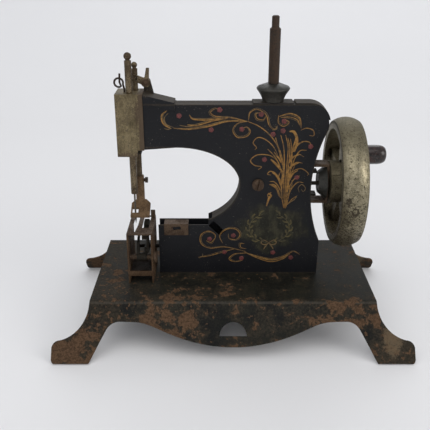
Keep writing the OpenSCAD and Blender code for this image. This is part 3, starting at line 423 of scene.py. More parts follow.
# %% [markdown]
# ## Metals
# The small parts are steel in several states of rust. One function makes all
# of them: two tones mixed by noise, and spots of tarnish cut from a finer
# noise. Old oil darkens the faces that look up inside the looper box, and a low
# gloss keeps greasy pieces from shining.

# %% Metals
def metal(name, tones, tarnish, spots, rough, metallic, gloss=0.5, oil=0.0):
    """Two metal tones, tarnish over the share given by spots, and oil on faces that look up."""
    fill, place = start_finish(name)
    cloud = place.noise(0.15, 5.0, 0.6)
    mottle = place.noise(1.1, 7.0, 0.68)
    grain = place.noise(4.5, 4.0, 0.7)
    dirt = (mottle * 0.6 + cloud * 0.4).ease(0.62 - spots * 0.3, 0.68 - spots * 0.3)
    colour = mottle.ease(0.32, 0.68).mix(*tones)
    colour = (dirt * 0.85).mix(colour, tarnish)
    if oil:
        up = place.facing()[2]
        colour = (up.ease(0.2, 0.7) * oil).mix(colour, tuple(c * 0.3 for c in tarnish))
    height = grain * 0.06 + mottle * 0.12 - dirt * 0.05
    return fill(
        Base_Color=colour,
        Roughness=(rough + 0.22 * (mottle - 0.5) + 0.28 * dirt).most(0.12),
        Metallic=metallic - 0.6 * metallic * dirt,
        Normal=place.bump(height, 0.35),
        Specular_IOR_Level=gloss,
    )


# Tones, tarnish, spots, and then rough, metallic, gloss and oil.
BAR = ((0.062, 0.046, 0.026), (0.27, 0.213, 0.135)), (0.036, 0.0225, 0.0125), 0.5
RUSTY = ((0.045, 0.0285, 0.017), (0.12, 0.077, 0.047)), (0.034, 0.02, 0.0125), 0.45
FOOT = ((0.092, 0.056, 0.028), (0.205, 0.131, 0.071)), (0.055, 0.032, 0.0165), 0.45
DARK = ((0.019, 0.019, 0.0165), (0.05, 0.048, 0.04)), (0.021, 0.016, 0.011), 0.3
OILY = ((0.0105, 0.0095, 0.0078), (0.028, 0.025, 0.0195)), (0.016, 0.011, 0.0075), 0.4
STEEL = ((0.06, 0.053, 0.04), (0.15, 0.138, 0.11)), (0.035, 0.025, 0.017), 0.45
PIN = ((0.017, 0.0125, 0.009), (0.06, 0.042, 0.029)), (0.04, 0.023, 0.0135), 0.5
keep("bar", metal("bar_steel", *BAR, 0.3, 0.8, 0.2))
keep("rust", metal("rusty_steel", *RUSTY, 0.6, 0.15, 0.25))
keep("box", metal("oiled_rust", *RUSTY, 0.6, 0.05, 0.03, 0.9))
keep("foot", metal("foot_steel", *FOOT, 0.5, 0.3, 0.2))
keep("dark", metal("dark_steel", *DARK, 0.42, 0.5))
keep("oily", metal("oily_steel", *OILY, 0.5, 0.2, 0.06))
keep("steel", metal("dull_steel", *STEEL, 0.45, 0.65))
keep("pin", metal("pin_steel", *PIN, 0.45, 0.45, 0.3))

# %% [markdown]
# ## Face cover
# The cover over the bars was plated, and is now dull gold with fine upright
# streaks. Rust has crept in along its right edge and its lower rim, so the node's
# own box says where those are.

# %% Face cover finish
COVER_GOLD = (0.075, 0.057, 0.028), (0.25, 0.198, 0.108)
COVER_DIRT, COVER_GRAIN = (0.05, 0.037, 0.019), (0.055, 0.042, 0.022)
COVER_RUST = (0.06, 0.036, 0.0195)


def face_nickel():
    """Gold mixed by upright streaks, with dirt and grain, and rust that grows towards two edges."""
    fill, place = start_finish("dull_nickel")
    x, _, z = place.millimetres()
    low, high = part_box("face_cover")
    right, top, bottom = high[0] / MM, high[2] / MM, low[2] / MM
    streak = place.stretched(1, 1, 0.35).noise(0.8, 6.0, 0.7)
    mottle = place.noise(1.1, 6.0, 0.7)
    cloud = place.noise(0.12, 4.0, 0.6)
    grain = place.noise(3.0, 4.0, 0.7)
    seep = pool(x, z, right - 3.6, top - 10.0, 1.6, 9.0) * place.facing()[1].ease(0.0, -0.6) * 0.2
    edge = seep + x.ease(right - 4.0, right - 0.3) * 0.4 + z.ease(bottom + 5.0, bottom) * 0.24
    rust = (mottle * 0.6 + cloud * 0.4 + edge).ease(0.6, 0.74)
    dirt = (streak * 0.6 + mottle * 0.4).ease(0.5, 0.6) * 0.8
    colour = (streak * 0.6 + cloud * 0.4).ease(0.36, 0.64).mix(*COVER_GOLD)
    colour = dirt.mix(colour, COVER_DIRT)
    colour = (grain.ease(0.54, 0.62) * 0.6).mix(colour, COVER_GRAIN)
    height = mottle * 0.1 + grain * 0.06 + streak * 0.08 - dirt * 0.06
    return fill(
        Base_Color=(rust * 0.85).mix(colour, COVER_RUST),
        Roughness=0.42 + 0.16 * mottle + 0.2 * dirt.most(rust),
        Metallic=0.6 - 0.45 * dirt.most(rust),
        Normal=place.bump(height, 0.4),
    )


keep("face", face_nickel())

# %% [markdown]
# ## Wheel
# The wheel's plating carries painted glints on the front of the crown. The rim's
# inside and left part, the spokes and the hub are painted a darker brown as shade,
# more so low down; the top of the rim and its face that looks left are painted
# darker as shade too, and dark pits gather low on the rim. The distance from the
# shaft tells these places apart.
# Two rusty blots mark the front of the rim, the first with a clear middle.

# %% Wheel finish
AXIS_Y, AXIS_Z = -1.5, BASE_TOP + 51.4
BLOT_RING, BLOT_CLEAR = (57.7, 75.3, 2.6, 3.1), (57.5, 75.6, 1.3, 1.6)
BLOT_SIDE = (54.3, 79.9, 2.0, 3.4)
WHEEL_TONES = (0.118, 0.102, 0.062), (0.295, 0.26, 0.178)
WHEEL_GLINT, WHEEL_DIRT = (0.5, 0.45, 0.32), (0.072, 0.059, 0.035)
WHEEL_TOP_SHADE, WHEEL_LIP_SHADE = (0.1, 0.088, 0.056), (0.045, 0.038, 0.0225)
WHEEL_SHADE, WHEEL_PIT = (0.06, 0.049, 0.029), (0.03, 0.022, 0.0145)


def wheel_nickel():
    """Plating with painted glints and painted shade; its dirt, painted shade and pits depend on
    height and on the reach from the shaft.
    """
    fill, place = start_finish("wheel_nickel")
    x, y, z = place.millimetres()
    right, back, _ = place.facing()
    dy, dz = y - AXIS_Y, z - AXIS_Z
    reach = (dy * dy + dz * dz).root()
    cloud = place.noise(0.08, 5.0, 0.6)
    mottle = place.noise(0.45, 7.0, 0.7)
    grain = place.noise(3.2, 3.0, 0.65)
    speck = place.noise(1.1, 4.0, 0.65)
    # inner and hub mark where shade is painted: inside the rim, its left part and the hub.
    inner = reach.ease(32.2, 30.6).most(x.ease(54.6, 52.4) * 0.6)
    hub = reach.ease(17.0, 12.5)
    low = dz.ease(20.0, -18.0)
    # Painted shade: the top of the rim is darkened.
    top_shade = dz.ease(20.0, 31.0) * 0.6
    # Painted shade: the rim's face that looks left is darkened.
    lip = right.ease(-0.5, -0.85) * reach.ease(29.5, 30.5)
    dirt = (mottle * 0.5 + cloud * 0.5 + low * 0.08 + inner * 0.04).ease(0.52, 0.64) * 0.75
    pit = (speck + low * 0.1 + cloud * 0.14).ease(0.655, 0.695)
    blot = pool(x, z, *BLOT_RING) * (1.0 - pool(x, z, *BLOT_CLEAR))
    blot = blot.most(pool(x, z, *BLOT_SIDE) * 0.75) + (speck - 0.5) * 2.72
    blot = blot.ease(0.2, 0.6) * y.ease(-20.0, -28.0) * 0.85
    # Painted highlight: bright glints on the crown's faces that look to the front.
    glint_paint = grain.ease(0.5, 0.66) * back.ease(-0.3, -0.85) * (1.0 - inner) * 0.6
    # Painted shade: the rim's inside and the hub are darkened, more so low down.
    shade_paint = (inner * (0.12 + 0.35 * low)).most(hub * 0.35)
    colour = glint_paint.mix(mottle.ease(0.3, 0.7).mix(*WHEEL_TONES), WHEEL_GLINT)
    colour = dirt.mix(colour, WHEEL_DIRT)
    colour = top_shade.mix(colour, WHEEL_TOP_SHADE)
    colour = (lip * 0.8).mix(colour, WHEEL_LIP_SHADE)
    colour = shade_paint.mix(colour, WHEEL_SHADE)
    dull = (dirt * 0.7).most(inner * 0.4).most(pit).most(blot).most(lip).most(top_shade)
    height = grain * 0.06 + mottle * 0.05 + speck * 0.1 - pit * 0.2 - blot * 0.15
    return fill(
        Base_Color=(pit * 0.75).most(blot).mix(colour, WHEEL_PIT),
        Roughness=0.28 + 0.14 * mottle + 0.34 * dull,
        Metallic=0.9 - 0.5 * dull,
        Normal=place.bump(height, 0.65),
        Specular_IOR_Level=0.15,
    )


keep("wheel", wheel_nickel())

# %% [markdown]
# ## Knob wood
# The knob is turned from wood, stained dark red-brown and lacquered. Its grain
# runs along the stud, so the noise is squeezed along X, and worn spots show a
# redder wood.

# %% Knob wood
STAINED_WOOD = (0.0055, 0.0028, 0.0022), (0.017, 0.0065, 0.0045)
WORN_WOOD = (0.052, 0.017, 0.0105)


def knob_wood():
    """Two dark browns mixed by long grain, redder where worn, under a thin coat."""
    fill, place = start_finish("knob_wood")
    grain = place.stretched(0.12, 1, 1).noise(0.9, 6.0, 0.6)
    worn = place.noise(0.22, 4.0, 0.6).ease(0.5, 0.66)
    return fill(
        Base_Color=(worn * 0.7).mix(grain.ease(0.35, 0.65).mix(*STAINED_WOOD), WORN_WOOD),
        Roughness=0.2 + 0.2 * worn + 0.1 * grain,
        Normal=place.bump(grain * 0.08 - worn * 0.08, 0.25),
        Specular_IOR_Level=0.3,
        Coat_Weight=0.35,
        Coat_Roughness=0.1,
    )


keep("wood", knob_wood())

# %% [markdown]
# ## Ornament paints
# The gilding is bronze powder in varnish, ochre with darker, rubbed stretches.
# The berries are a dull red lake.

# %% Ornament paints
BERRY_RED = (0.06, 0.011, 0.0105), (0.15, 0.029, 0.026)


def gilding(name, dark, light):
    """Two golds mixed by fine noise, darker and duller where two other noises say it is rubbed."""
    fill, place = start_finish(name)
    grain = place.noise(0.6, 5.0, 0.7)
    rub = (place.noise(0.14, 4.0, 0.6) * 0.5 + place.noise(0.9, 4.0, 0.7) * 0.5).ease(0.5, 0.6)
    rubbed = tuple(0.25 * c + 0.012 for c in dark)
    return fill(
        Base_Color=(rub * 0.75).mix(grain.ease(0.3, 0.7).mix(dark, light), rubbed),
        Roughness=0.48 + 0.25 * rub,
        Metallic=0.2 - 0.15 * rub,
        Normal=place.bump(grain * 0.05, 0.2),
    )


def berry_red():
    """Two reds mixed by fine noise."""
    fill, place = start_finish("berry_red")
    grain = place.noise(1.1, 4.0, 0.65)
    return fill(
        Base_Color=grain.ease(0.35, 0.68).mix(*BERRY_RED),
        Roughness=0.5 + 0.2 * grain,
        Normal=place.bump(grain * 0.06, 0.2),
    )


keep("gilt", gilding("gilding", (0.15, 0.07, 0.0125), (0.34, 0.175, 0.034)))
keep("rubbed", gilding("rubbed_gilding", (0.085, 0.05, 0.018), (0.2, 0.125, 0.045)))
keep("olive", gilding("olive_gilding", (0.035, 0.028, 0.009), (0.11, 0.083, 0.025)))
keep("red", berry_red())

# %% [markdown]
# ## The base as one bent sheet
# The real base is stamped flat, with arches and feet cut out, and then folded.
# It could be cut from a block, but the sheet is a surface of two parameters:
# along the length, and along the section from the lower edge up the skirt and
# over the fold. Each column runs from the lower outline to the upper one, so the
# grid follows the arches, the hollow above each foot and the half-moon hole.

# %% Base outline
HALF_PLATE, HALF_FOOT, LOBE_RUN = 72.3, 90.9, 60.0
ARCH_X, ARCH_R, ARCH_RUN, ARCH_SOFT = 57.0, 8.2, 7.1, 1.5
LEG_END, LEG_TOP = 72.6, 14.2
TOE_X, TOE_R, FOOT_RISE = 88.0, 3.0, 0.68
HOLLOW_X, HOLLOW_Z, HOLLOW_R = 90.3, BASE_TOP + 0.5, 18.0
END_X, END_Z, END_R = 87.0, 6.2, 4.0


def circle(radius, run):
    """Height of a circle over its centre, at a run from it; 0 outside."""
    return np.sqrt(np.maximum(radius**2 - run**2, 0))


def lower_edge(x):
    """Height of the skirt's lower edge: lobe, arch, the leg's inner side, the foot's round corner.

    The feet end a little above the table, because the wall then grows inwards and down to it."""
    a = np.abs(x)
    lobe = LOBE_H + LOBE_R - circle(LOBE_R, np.minimum(a, LOBE_RUN))
    arch = ARCH_H - ARCH_R + circle(ARCH_R, np.clip(a - ARCH_X, 0, ARCH_RUN))
    leg = np.interp(a, [ARCH_X + ARCH_RUN, LEG_END], [LEG_TOP, 0.0])
    blend = -ARCH_SOFT * np.log(np.exp(-lobe / ARCH_SOFT) + np.exp(-arch / ARCH_SOFT))
    z = np.where(a < ARCH_X, blend, np.where(a < ARCH_X + ARCH_RUN, arch, leg))
    toe = TOE_R - circle(TOE_R, np.clip(a - TOE_X, 0, TOE_R))
    return np.maximum(np.where(a > TOE_X, toe, z), FOOT_RISE)


def upper_edge(x):
    """Height of the sheet's upper edge: the plate, the hollow over the foot, its round end."""
    a = np.abs(x)
    hollow = HOLLOW_Z - circle(HOLLOW_R, np.clip(a, HALF_PLATE, END_X) - HOLLOW_X)
    end = END_Z + circle(END_R, np.clip(a - END_X, 0, END_R))
    foot = np.where(a < END_X, np.minimum(hollow, BASE_TOP), end)
    return np.where(a <= HALF_PLATE, BASE_TOP, foot)


print("skirt at the middle", lower_edge(np.zeros(1)), "to", upper_edge(np.zeros(1)), "mm")

# %% Base grid
PLATE_Y, FOLD_R, TOE_SPREAD, SKIRT_RUN = 36.0, 1.9, 2.0, 14.0
SKIRT_SLOPE = math.atan2(BASE_TOP, SKIRT_RUN)
FOLD_BACK = FOLD_R * math.tan(SKIRT_SLOPE / 2)
MOON_HALF, MOON_R, MOON_Z, MOON_FLAT = 6.95, 7.0, 11.2, 12.0
MOON_CALM, MOON_FADE = 9, 16
ROWS_UNDER, ROWS_OVER, ROWS_PLATE = 13, 25, 25


def skirt_section():
    """y and z of the outer face from the toe up the skirt and round the fold, and arc length."""
    turn = np.linspace(0, SKIRT_SLOPE, 16)
    s = np.linspace(FOLD_BACK * math.sin(SKIRT_SLOPE) / BASE_TOP, 1, 60)[1:]
    fold_y = PLATE_Y - FOLD_BACK + FOLD_R * np.sin(turn)
    fold_z = BASE_TOP - FOLD_R + FOLD_R * np.cos(turn)
    y = np.concatenate([fold_y, PLATE_Y + SKIRT_RUN * s + TOE_SPREAD * s**4])[::-1]
    z = np.concatenate([fold_z, BASE_TOP * (1 - s)])[::-1]
    return y, z, np.concatenate([[0], np.cumsum(np.hypot(np.diff(y), np.diff(z)))])


def base_columns():
    """Places along x: even over the plate, closer at the hole, over the foot and at its tip."""
    hole = np.linspace(0, MOON_HALF, 15)
    plate = np.concatenate([np.linspace(7.6, 56, 42), np.linspace(ARCH_X, 72.25, 26), [HALF_PLATE]])
    bend = 1 - np.cos(np.linspace(0.04, math.pi / 2, 26))
    foot = HALF_PLATE + (HALF_FOOT - HALF_PLATE) * bend
    tip = END_X + (HALF_FOOT - END_X) * np.sin(np.linspace(0.1, math.pi / 2, 12))
    half = np.unique(np.concatenate([hole, plate, foot[foot < END_X], [END_X], tip]))
    return np.concatenate([-half[:0:-1], half])


def base_grid(x):
    """The front skirt under and over a line that runs through the half-moon hole."""
    y, z, arc = skirt_section()
    low, high = lower_edge(x), upper_edge(x)
    away = np.clip((np.abs(x) - MOON_CALM) / MOON_FADE, 0, 1)
    away = away * away * (3 - 2 * away)
    split = (1 - away) * MOON_FLAT + away * (low + 0.45 * (high - low))
    dome = np.maximum(MOON_Z + circle(MOON_R, x), split)

    def rows(bottom, top, count):
        """Rows at even steps of arc length from one line up to another."""
        t = np.linspace(0, 1, count)[:, None]
        s = np.interp(bottom, z, arc) * (1 - t) + np.interp(top, z, arc) * t
        across = np.broadcast_to(x, s.shape)
        return np.stack([across, -np.interp(s, arc, y), np.interp(s, arc, z)], -1)

    over = np.where(np.abs(x) < MOON_HALF, dome, split)
    return rows(low, split, ROWS_UNDER), rows(over, high, ROWS_OVER)


print("columns", len(base_columns()), "fold", round(math.degrees(SKIRT_SLOPE), 1), "degrees")

# %% Base sheet
SHEET, SHEET_EDGE = 1.0, 0.3


def soften(piece, width, angle):
    """Round every edge sharper than angle."""
    bevel = piece.modifiers.new("edge", "BEVEL")
    bevel.width = width * MM
    bevel.segments = 2
    bevel.limit_method = "ANGLE"
    bevel.angle_limit = math.radians(angle)
    bevel.use_clamp_overlap = True
    bevel.harden_normals = False


def make_base():
    """The front skirt, the plate and the skirt mirrored to the back, merged and given a wall."""
    x = base_columns()
    below, above = base_grid(x)
    edge = above[-1][np.abs(x) <= HALF_PLATE + 1e-6]
    across = np.linspace(-1, 1, ROWS_PLATE)[:, None, None]
    plate = edge * [1, 0, 1] + across * np.array([0, PLATE_Y - FOLD_BACK, 0])
    grids = [below, above, plate, below * [1, -1, 1], above * [1, -1, 1]]
    counts = np.cumsum([0] + [g.shape[0] * g.shape[1] for g in grids])
    points = np.concatenate([g.reshape(-1, 3) for g in grids])
    faces = np.concatenate([grid_faces(*g.shape[:2]) + c for g, c in zip(grids, counts)])
    piece = new_piece("base_sheet", points, faces, "frame", "base_enamel", finish["base"])
    tidy_mesh(piece.data, 2e-6)
    normals = np.zeros(len(piece.data.polygons) * 3)
    piece.data.polygons.foreach_get("normal", normals)
    if normals.reshape(-1, 3)[:, 2].mean() < 0:
        piece.data.flip_normals()
    wall = piece.modifiers.new("wall", "SOLIDIFY")
    wall.thickness = SHEET * MM
    wall.offset = -1
    soften(piece, SHEET_EDGE, 50)
    return piece


base_sheet = make_base()
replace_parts(base_sheet, "base_stand")
print("base points", len(base_sheet.data.vertices))

# %% [markdown]
# ## Rounded copies
# A stamped or cast piece has no perfectly sharp edge, and its edges catch the
# light. For the pieces whose CAD shape is already right, a copy of the node is
# merged, its flat faces are joined, and a bevel rounds what is left. The lifter's
# blade is also drawn slimmer, as on the real one. The other nodes stay as they
# are and only get their finish.

# %% Rounded copies
SHARP = 32
record = frame["record"]
body_of = {n: body for body, members in record["behaviour"]["bodies"].items() for n in members}


def rounded(node, name, paint, width):
    """A copy of a CAD node with its edges rounded by width millimetres."""
    mesh = nodes[node].data.copy()
    mesh.name = name
    mesh.materials.clear()
    mesh.materials.append(finish[paint])
    tidy_mesh(mesh, 2e-6, 0.6)
    mesh.shade_smooth()
    mesh.set_sharp_from_angle(angle=math.radians(SHARP))
    piece = add_object(name, mesh)
    soften(piece, width, SHARP)
    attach(piece, body_of[node])
    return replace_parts(piece, node)


ROUNDED = [
    ("head_front_panel", "head_front", "head", 0.35),
    ("head_rear_panel", "head_rear", "head", 0.35),
    ("top_strap", "arm_strap", "saddle", 0.25),
    ("corner_strip", "arm_corner", "saddle", 0.25),
    ("nose_cover", "arm_saddle", "saddle", 0.25),
    ("face_cover", "face_shell", "face", 0.3),
    ("looper_box", "looper_case", "box", 0.2),
    ("needle_plate", "stitch_plate", "rust", 0.15),
    ("bed_clip", "bed_spring_clip", "rust", 0.2),
    ("cloth_guide", "edge_guide", "rust", 0.2),
    ("presser_foot", "cloth_foot", "foot", 0.2),
    ("bearing_bracket", "shaft_bracket", "rust", 0.25),
    ("hand_wheel", "crank_wheel", "wheel", 0.5),
    ("spool_flange", "spool_seat", "dark", 0.35),
    ("spool_pin", "spool_post", "pin", 0.25),
    ("pivot_screw", "rocker_screw", "rust", 0.2),
    ("looper_pivot_screw", "looper_screw", "rust", 0.2),
    ("lifter_lever", "foot_lifter", "bar", 0.15),
    ("bearing_bell", "crank_bell", "dark", 0.15),
    ("needle_bar", "needle_rod", "bar", 0.15),
    ("presser_bar", "presser_rod", "bar", 0.15),
]
for row in ROUNDED:
    rounded(*row)
print("rounded", len(ROUNDED))

# %% Lifter blade and plain nodes
LIFT_X, LIFT_Z, LIFT_EAR = -43.2, 129.95, 2.2
BLADE_LEN, BLADE_FOOT = 7.0, 1.2
PLAIN = {
    "thread_guide": "pin", "feed_guide": "rust", "needle": "steel", "needle_screw": "bar",
    "foot_screw": "pin", "lift_pin": "bar", "lifter_rivet": "rust",
}


def slim_blade(mesh):
    """Draw points above the pivot towards the blade's middle line: half way low, less high up."""
    flat = np.empty(3 * len(mesh.vertices))
    mesh.vertices.foreach_get("co", flat)
    points = flat.reshape(-1, 3) / MM
    x, rise = points[:, 0], points[:, 2] - LIFT_Z
    share = rise / BLADE_LEN
    draw = (0.55 - 0.5 * share) * np.clip((rise - BLADE_FOOT) / BLADE_FOOT, 0, 1)
    draw = np.where(x > LIFT_X - LIFT_EAR, draw, 0)
    points[:, 0] = x + draw * (LIFT_X + 0.1 + 1.1 * share - x)
    mesh.vertices.foreach_set("co", (points * MM).ravel())


slim_blade(bpy.data.objects["foot_lifter"].data)
replaced = {row[0] for row in ROUNDED} | {"base_stand", "handle_knob"}
plain = [node for node in nodes if node not in replaced]
for node in plain:
    paints = nodes[node].data.materials
    paints.clear()
    paints.append(finish[PLAIN.get(node, "oily")])
print("plain", len(plain))

# %% [markdown]
# ## Knob
# A knob is turned on a lathe, so it is a profile carried round its own axis.
# The profile swells from the collar, stays full and rolls over into a domed
# end with a recess for the stud's head. The wheel's rest angle puts its axis
# behind and above the shaft.

# %% Knob
KNOB_LEFT, KNOB_LEN, KNOB_R, KNOB_BORE = 66.4, 19.2, 5.38, 1.6
NECK_R, COLLAR_R, DOME_R, DOME_START = 4.15, 3.6, 2.75, 0.72
RECESS_R, RECESS_DEPTH = 2.6, 1.5
KNOB_ORBIT, KNOB_ANGLE = 28.0, math.radians(12)


def lathe(profile, centre, around=56):
    """Carry (x, r) points round an axis along X through centre; the profile is a closed loop."""
    a = np.linspace(0, 2 * math.pi, around, endpoint=False)
    x = np.repeat(profile[:, :1], around, 1)
    y = centre[0] + profile[:, 1:] * np.cos(a)
    z = centre[1] + profile[:, 1:] * np.sin(a)
    return np.stack([x, y, z], -1).reshape(-1, 3), grid_faces(len(profile), around, True, True)


def knob_profile():
    """Outer line with a full belly and a domed end, then the recess, the bore and the collar."""
    t = np.linspace(0, 1, 40)
    belly = NECK_R + (KNOB_R - NECK_R) * np.sin(math.pi * np.clip(0.1 + 0.62 * t, 0, 1)) ** 0.8
    past = np.clip((t - DOME_START) / (1 - DOME_START), 0, 1)
    roll = np.sqrt(np.clip(1 - past**2.6, 0, 1))
    outer = np.stack([KNOB_LEFT + KNOB_LEN * t, DOME_R + (belly - DOME_R) * roll], 1)
    end = KNOB_LEFT + KNOB_LEN
    recess = [[end - 0.2, RECESS_R], [end - RECESS_DEPTH, RECESS_R]]
    bore = [[end - RECESS_DEPTH, KNOB_BORE], [KNOB_LEFT, KNOB_BORE], [KNOB_LEFT, COLLAR_R]]
    return np.concatenate([outer, recess, bore])


knob_y = AXIS_Y + KNOB_ORBIT * math.cos(KNOB_ANGLE)
knob_z = AXIS_Z + KNOB_ORBIT * math.sin(KNOB_ANGLE)
turned = lathe(knob_profile(), (knob_y, knob_z))
knob = new_piece("turned_knob", *turned, "knob", "knob_wood", finish["wood"])
tidy_mesh(knob.data)
knob.data.set_sharp_from_angle(angle=math.radians(50))
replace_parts(knob, "handle_knob")
print("knob points", len(knob.data.vertices))

# %% [markdown]
# ## Gilt scrolls
# The ornament is brushwork: strokes that swell and taper along smooth curves.
# Each stroke is a curve through a few points on the head's face, carried out to
# a width on both sides and domed a few hundredths of a millimetre, like thick
# paint. Each berry is a rosette with five soft lobes.

# %% Brush strokes
FACE_Y = -6.0
PAINT_RISE = 0.07
STROKE_ACROSS = np.array([-1.0, -0.55, 0.0, 0.55, 1.0, 0.0])
STROKE_DEPTH = np.array([0.02, -0.75, -1.0, -0.75, 0.02, 0.5]) * PAINT_RISE


def smooth_path(points, count):
    """Catmull-Rom curve through the points, at count even steps of the parameter."""
    p = np.asarray(points, float)
    p = np.concatenate([[2 * p[0] - p[1]], p, [2 * p[-1] - p[-2]]])
    t = np.linspace(0, len(p) - 3 - 1e-9, count)
    k = t.astype(int)
    u = (t - k)[:, None]
    a, b, c, d = p[k], p[k + 1], p[k + 2], p[k + 3]
    bend, twist = 2 * a - 5 * b + 4 * c - d, 3 * b - a - 3 * c + d
    return 0.5 * (2 * b + (c - a) * u + bend * u**2 + twist * u**3)


def capped_tube(grid):
    """Points and faces of a grid whose rows are closed loops, with a face over each end."""
    rows, cols = grid.shape[:2]
    caps = [np.arange(cols)[::-1], np.arange(cols) + (rows - 1) * cols]
    return grid.reshape(-1, 3), [*grid_faces(rows, cols, wrap_cols=True), *caps]


def stroke(points, width, lean=0.0, count=48):
    """A domed brush stroke: half width swells as a power of a sine; lean bows it to one side."""
    path = smooth_path(points, count)
    along = np.gradient(path, axis=0)
    along /= np.linalg.norm(along, axis=1, keepdims=True) + 1e-9
    side = np.stack([-along[:, 1], along[:, 0]], 1)
    t = np.linspace(0, 1, count)
    path = path + side * (lean * np.sin(math.pi * t))[:, None]
    half = width * (0.16 + 0.84 * np.sin(math.pi * np.clip(0.08 + 0.86 * t, 0, 1)) ** 0.7)
    xz = path[:, None] + side[:, None] * (half[:, None] * STROKE_ACROSS)[..., None]
    y = np.broadcast_to(FACE_Y + STROKE_DEPTH, xz.shape[:2])
    return capped_tube(np.stack([xz[..., 0], y, xz[..., 1]], -1))


def rosette(centre, radius, lobes=5, rings=4, spokes=40):
    """A berry: rings of points whose radius has soft lobes, domed towards the middle."""
    a = np.linspace(0, 2 * math.pi, spokes, endpoint=False)
    r = np.linspace(1, 0.12, rings)[:, None]
    edge = radius * (1 + 0.07 * np.cos(lobes * a))
    x = centre[0] + r * edge * np.cos(a)
    z = centre[1] + r * edge * np.sin(a)
    dome = 1.6 * PAINT_RISE * np.sqrt(np.clip(1 - r**2, 0, 1))
    return capped_tube(np.stack([x, np.broadcast_to(FACE_Y - dome + 0.02, x.shape), z], -1))


def joined(name, shapes, paint):
    """Many small shapes as one piece on the head."""
    counts = np.cumsum([0] + [len(p) for p, _ in shapes])
    points = np.concatenate([p for p, _ in shapes])
    faces = [f + c for (_, fs), c in zip(shapes, counts) for f in fs]
    piece = new_piece(name, points, faces, "frame", "enamel", finish[paint])
    tidy_mesh(piece.data)
    print(name, len(shapes), "shapes")


print("a stroke has", len(stroke([(0, 0), (1, 1)], 1.0)[0]), "points")

# %% [markdown]
# ## The scrolls' lines
# Each row is a stroke: its width, and the points of its middle line on the head's
# face, x and z in millimetres. A fainter echo beside the arm's and the bed's
# strokes gives them a second, rubbed line.

# %% Scroll lines
ARM_STROKES = [
    (0.75, [(-32.7, 117.4), (-35.2, 114.9), (-34.4, 110.8), (-30.8, 108.3)]),
    (0.8, [(-29.5, 108.6), (-21.5, 108.2), (-11.6, 109.9), (-2.9, 112.2), (6.9, 112.1)]),
    (0.65, [(-21.7, 115.3), (-19.6, 113.2), (-11.6, 113), (-2.9, 114.1), (6.9, 112.1)]),
    (0.7, [(-22.7, 110.3), (-18.4, 110.1), (-10.3, 112.4), (-2.9, 113.5)]),
    (0.45, [(-3.6, 114.5), (-9.1, 114.6), (-11.5, 116.5), (-9.1, 118.5), (-6.6, 117.8)]),
    (0.55, [(7.4, 112.4), (8.1, 116.5), (11.7, 118.2), (16.1, 115.6), (17.8, 110.2),
            (20.4, 108), (21.8, 109.9)]),
    (0.4, [(16.1, 114.9), (14.6, 112.7), (11.5, 113.4), (10.9, 115.9), (13.3, 116.4)]),
    (0.5, [(7.1, 112), (2.3, 111), (-0.1, 107.7), (2.1, 104.1), (6.5, 104.5), (8.3, 106.9),
           (6.7, 109.1), (4.2, 108.3)]),
    (0.6, [(33.6, 108.6), (32.4, 113.7), (27.7, 115.8), (22.3, 114.5)]),
    (0.5, [(33, 109.6), (31.3, 112.7), (27.2, 114.1), (23.2, 113.9)]),
    (0.45, [(22.2, 115.3), (22.3, 111.5), (24.9, 109.7), (27.4, 111.5), (25.4, 113.1)]),
]
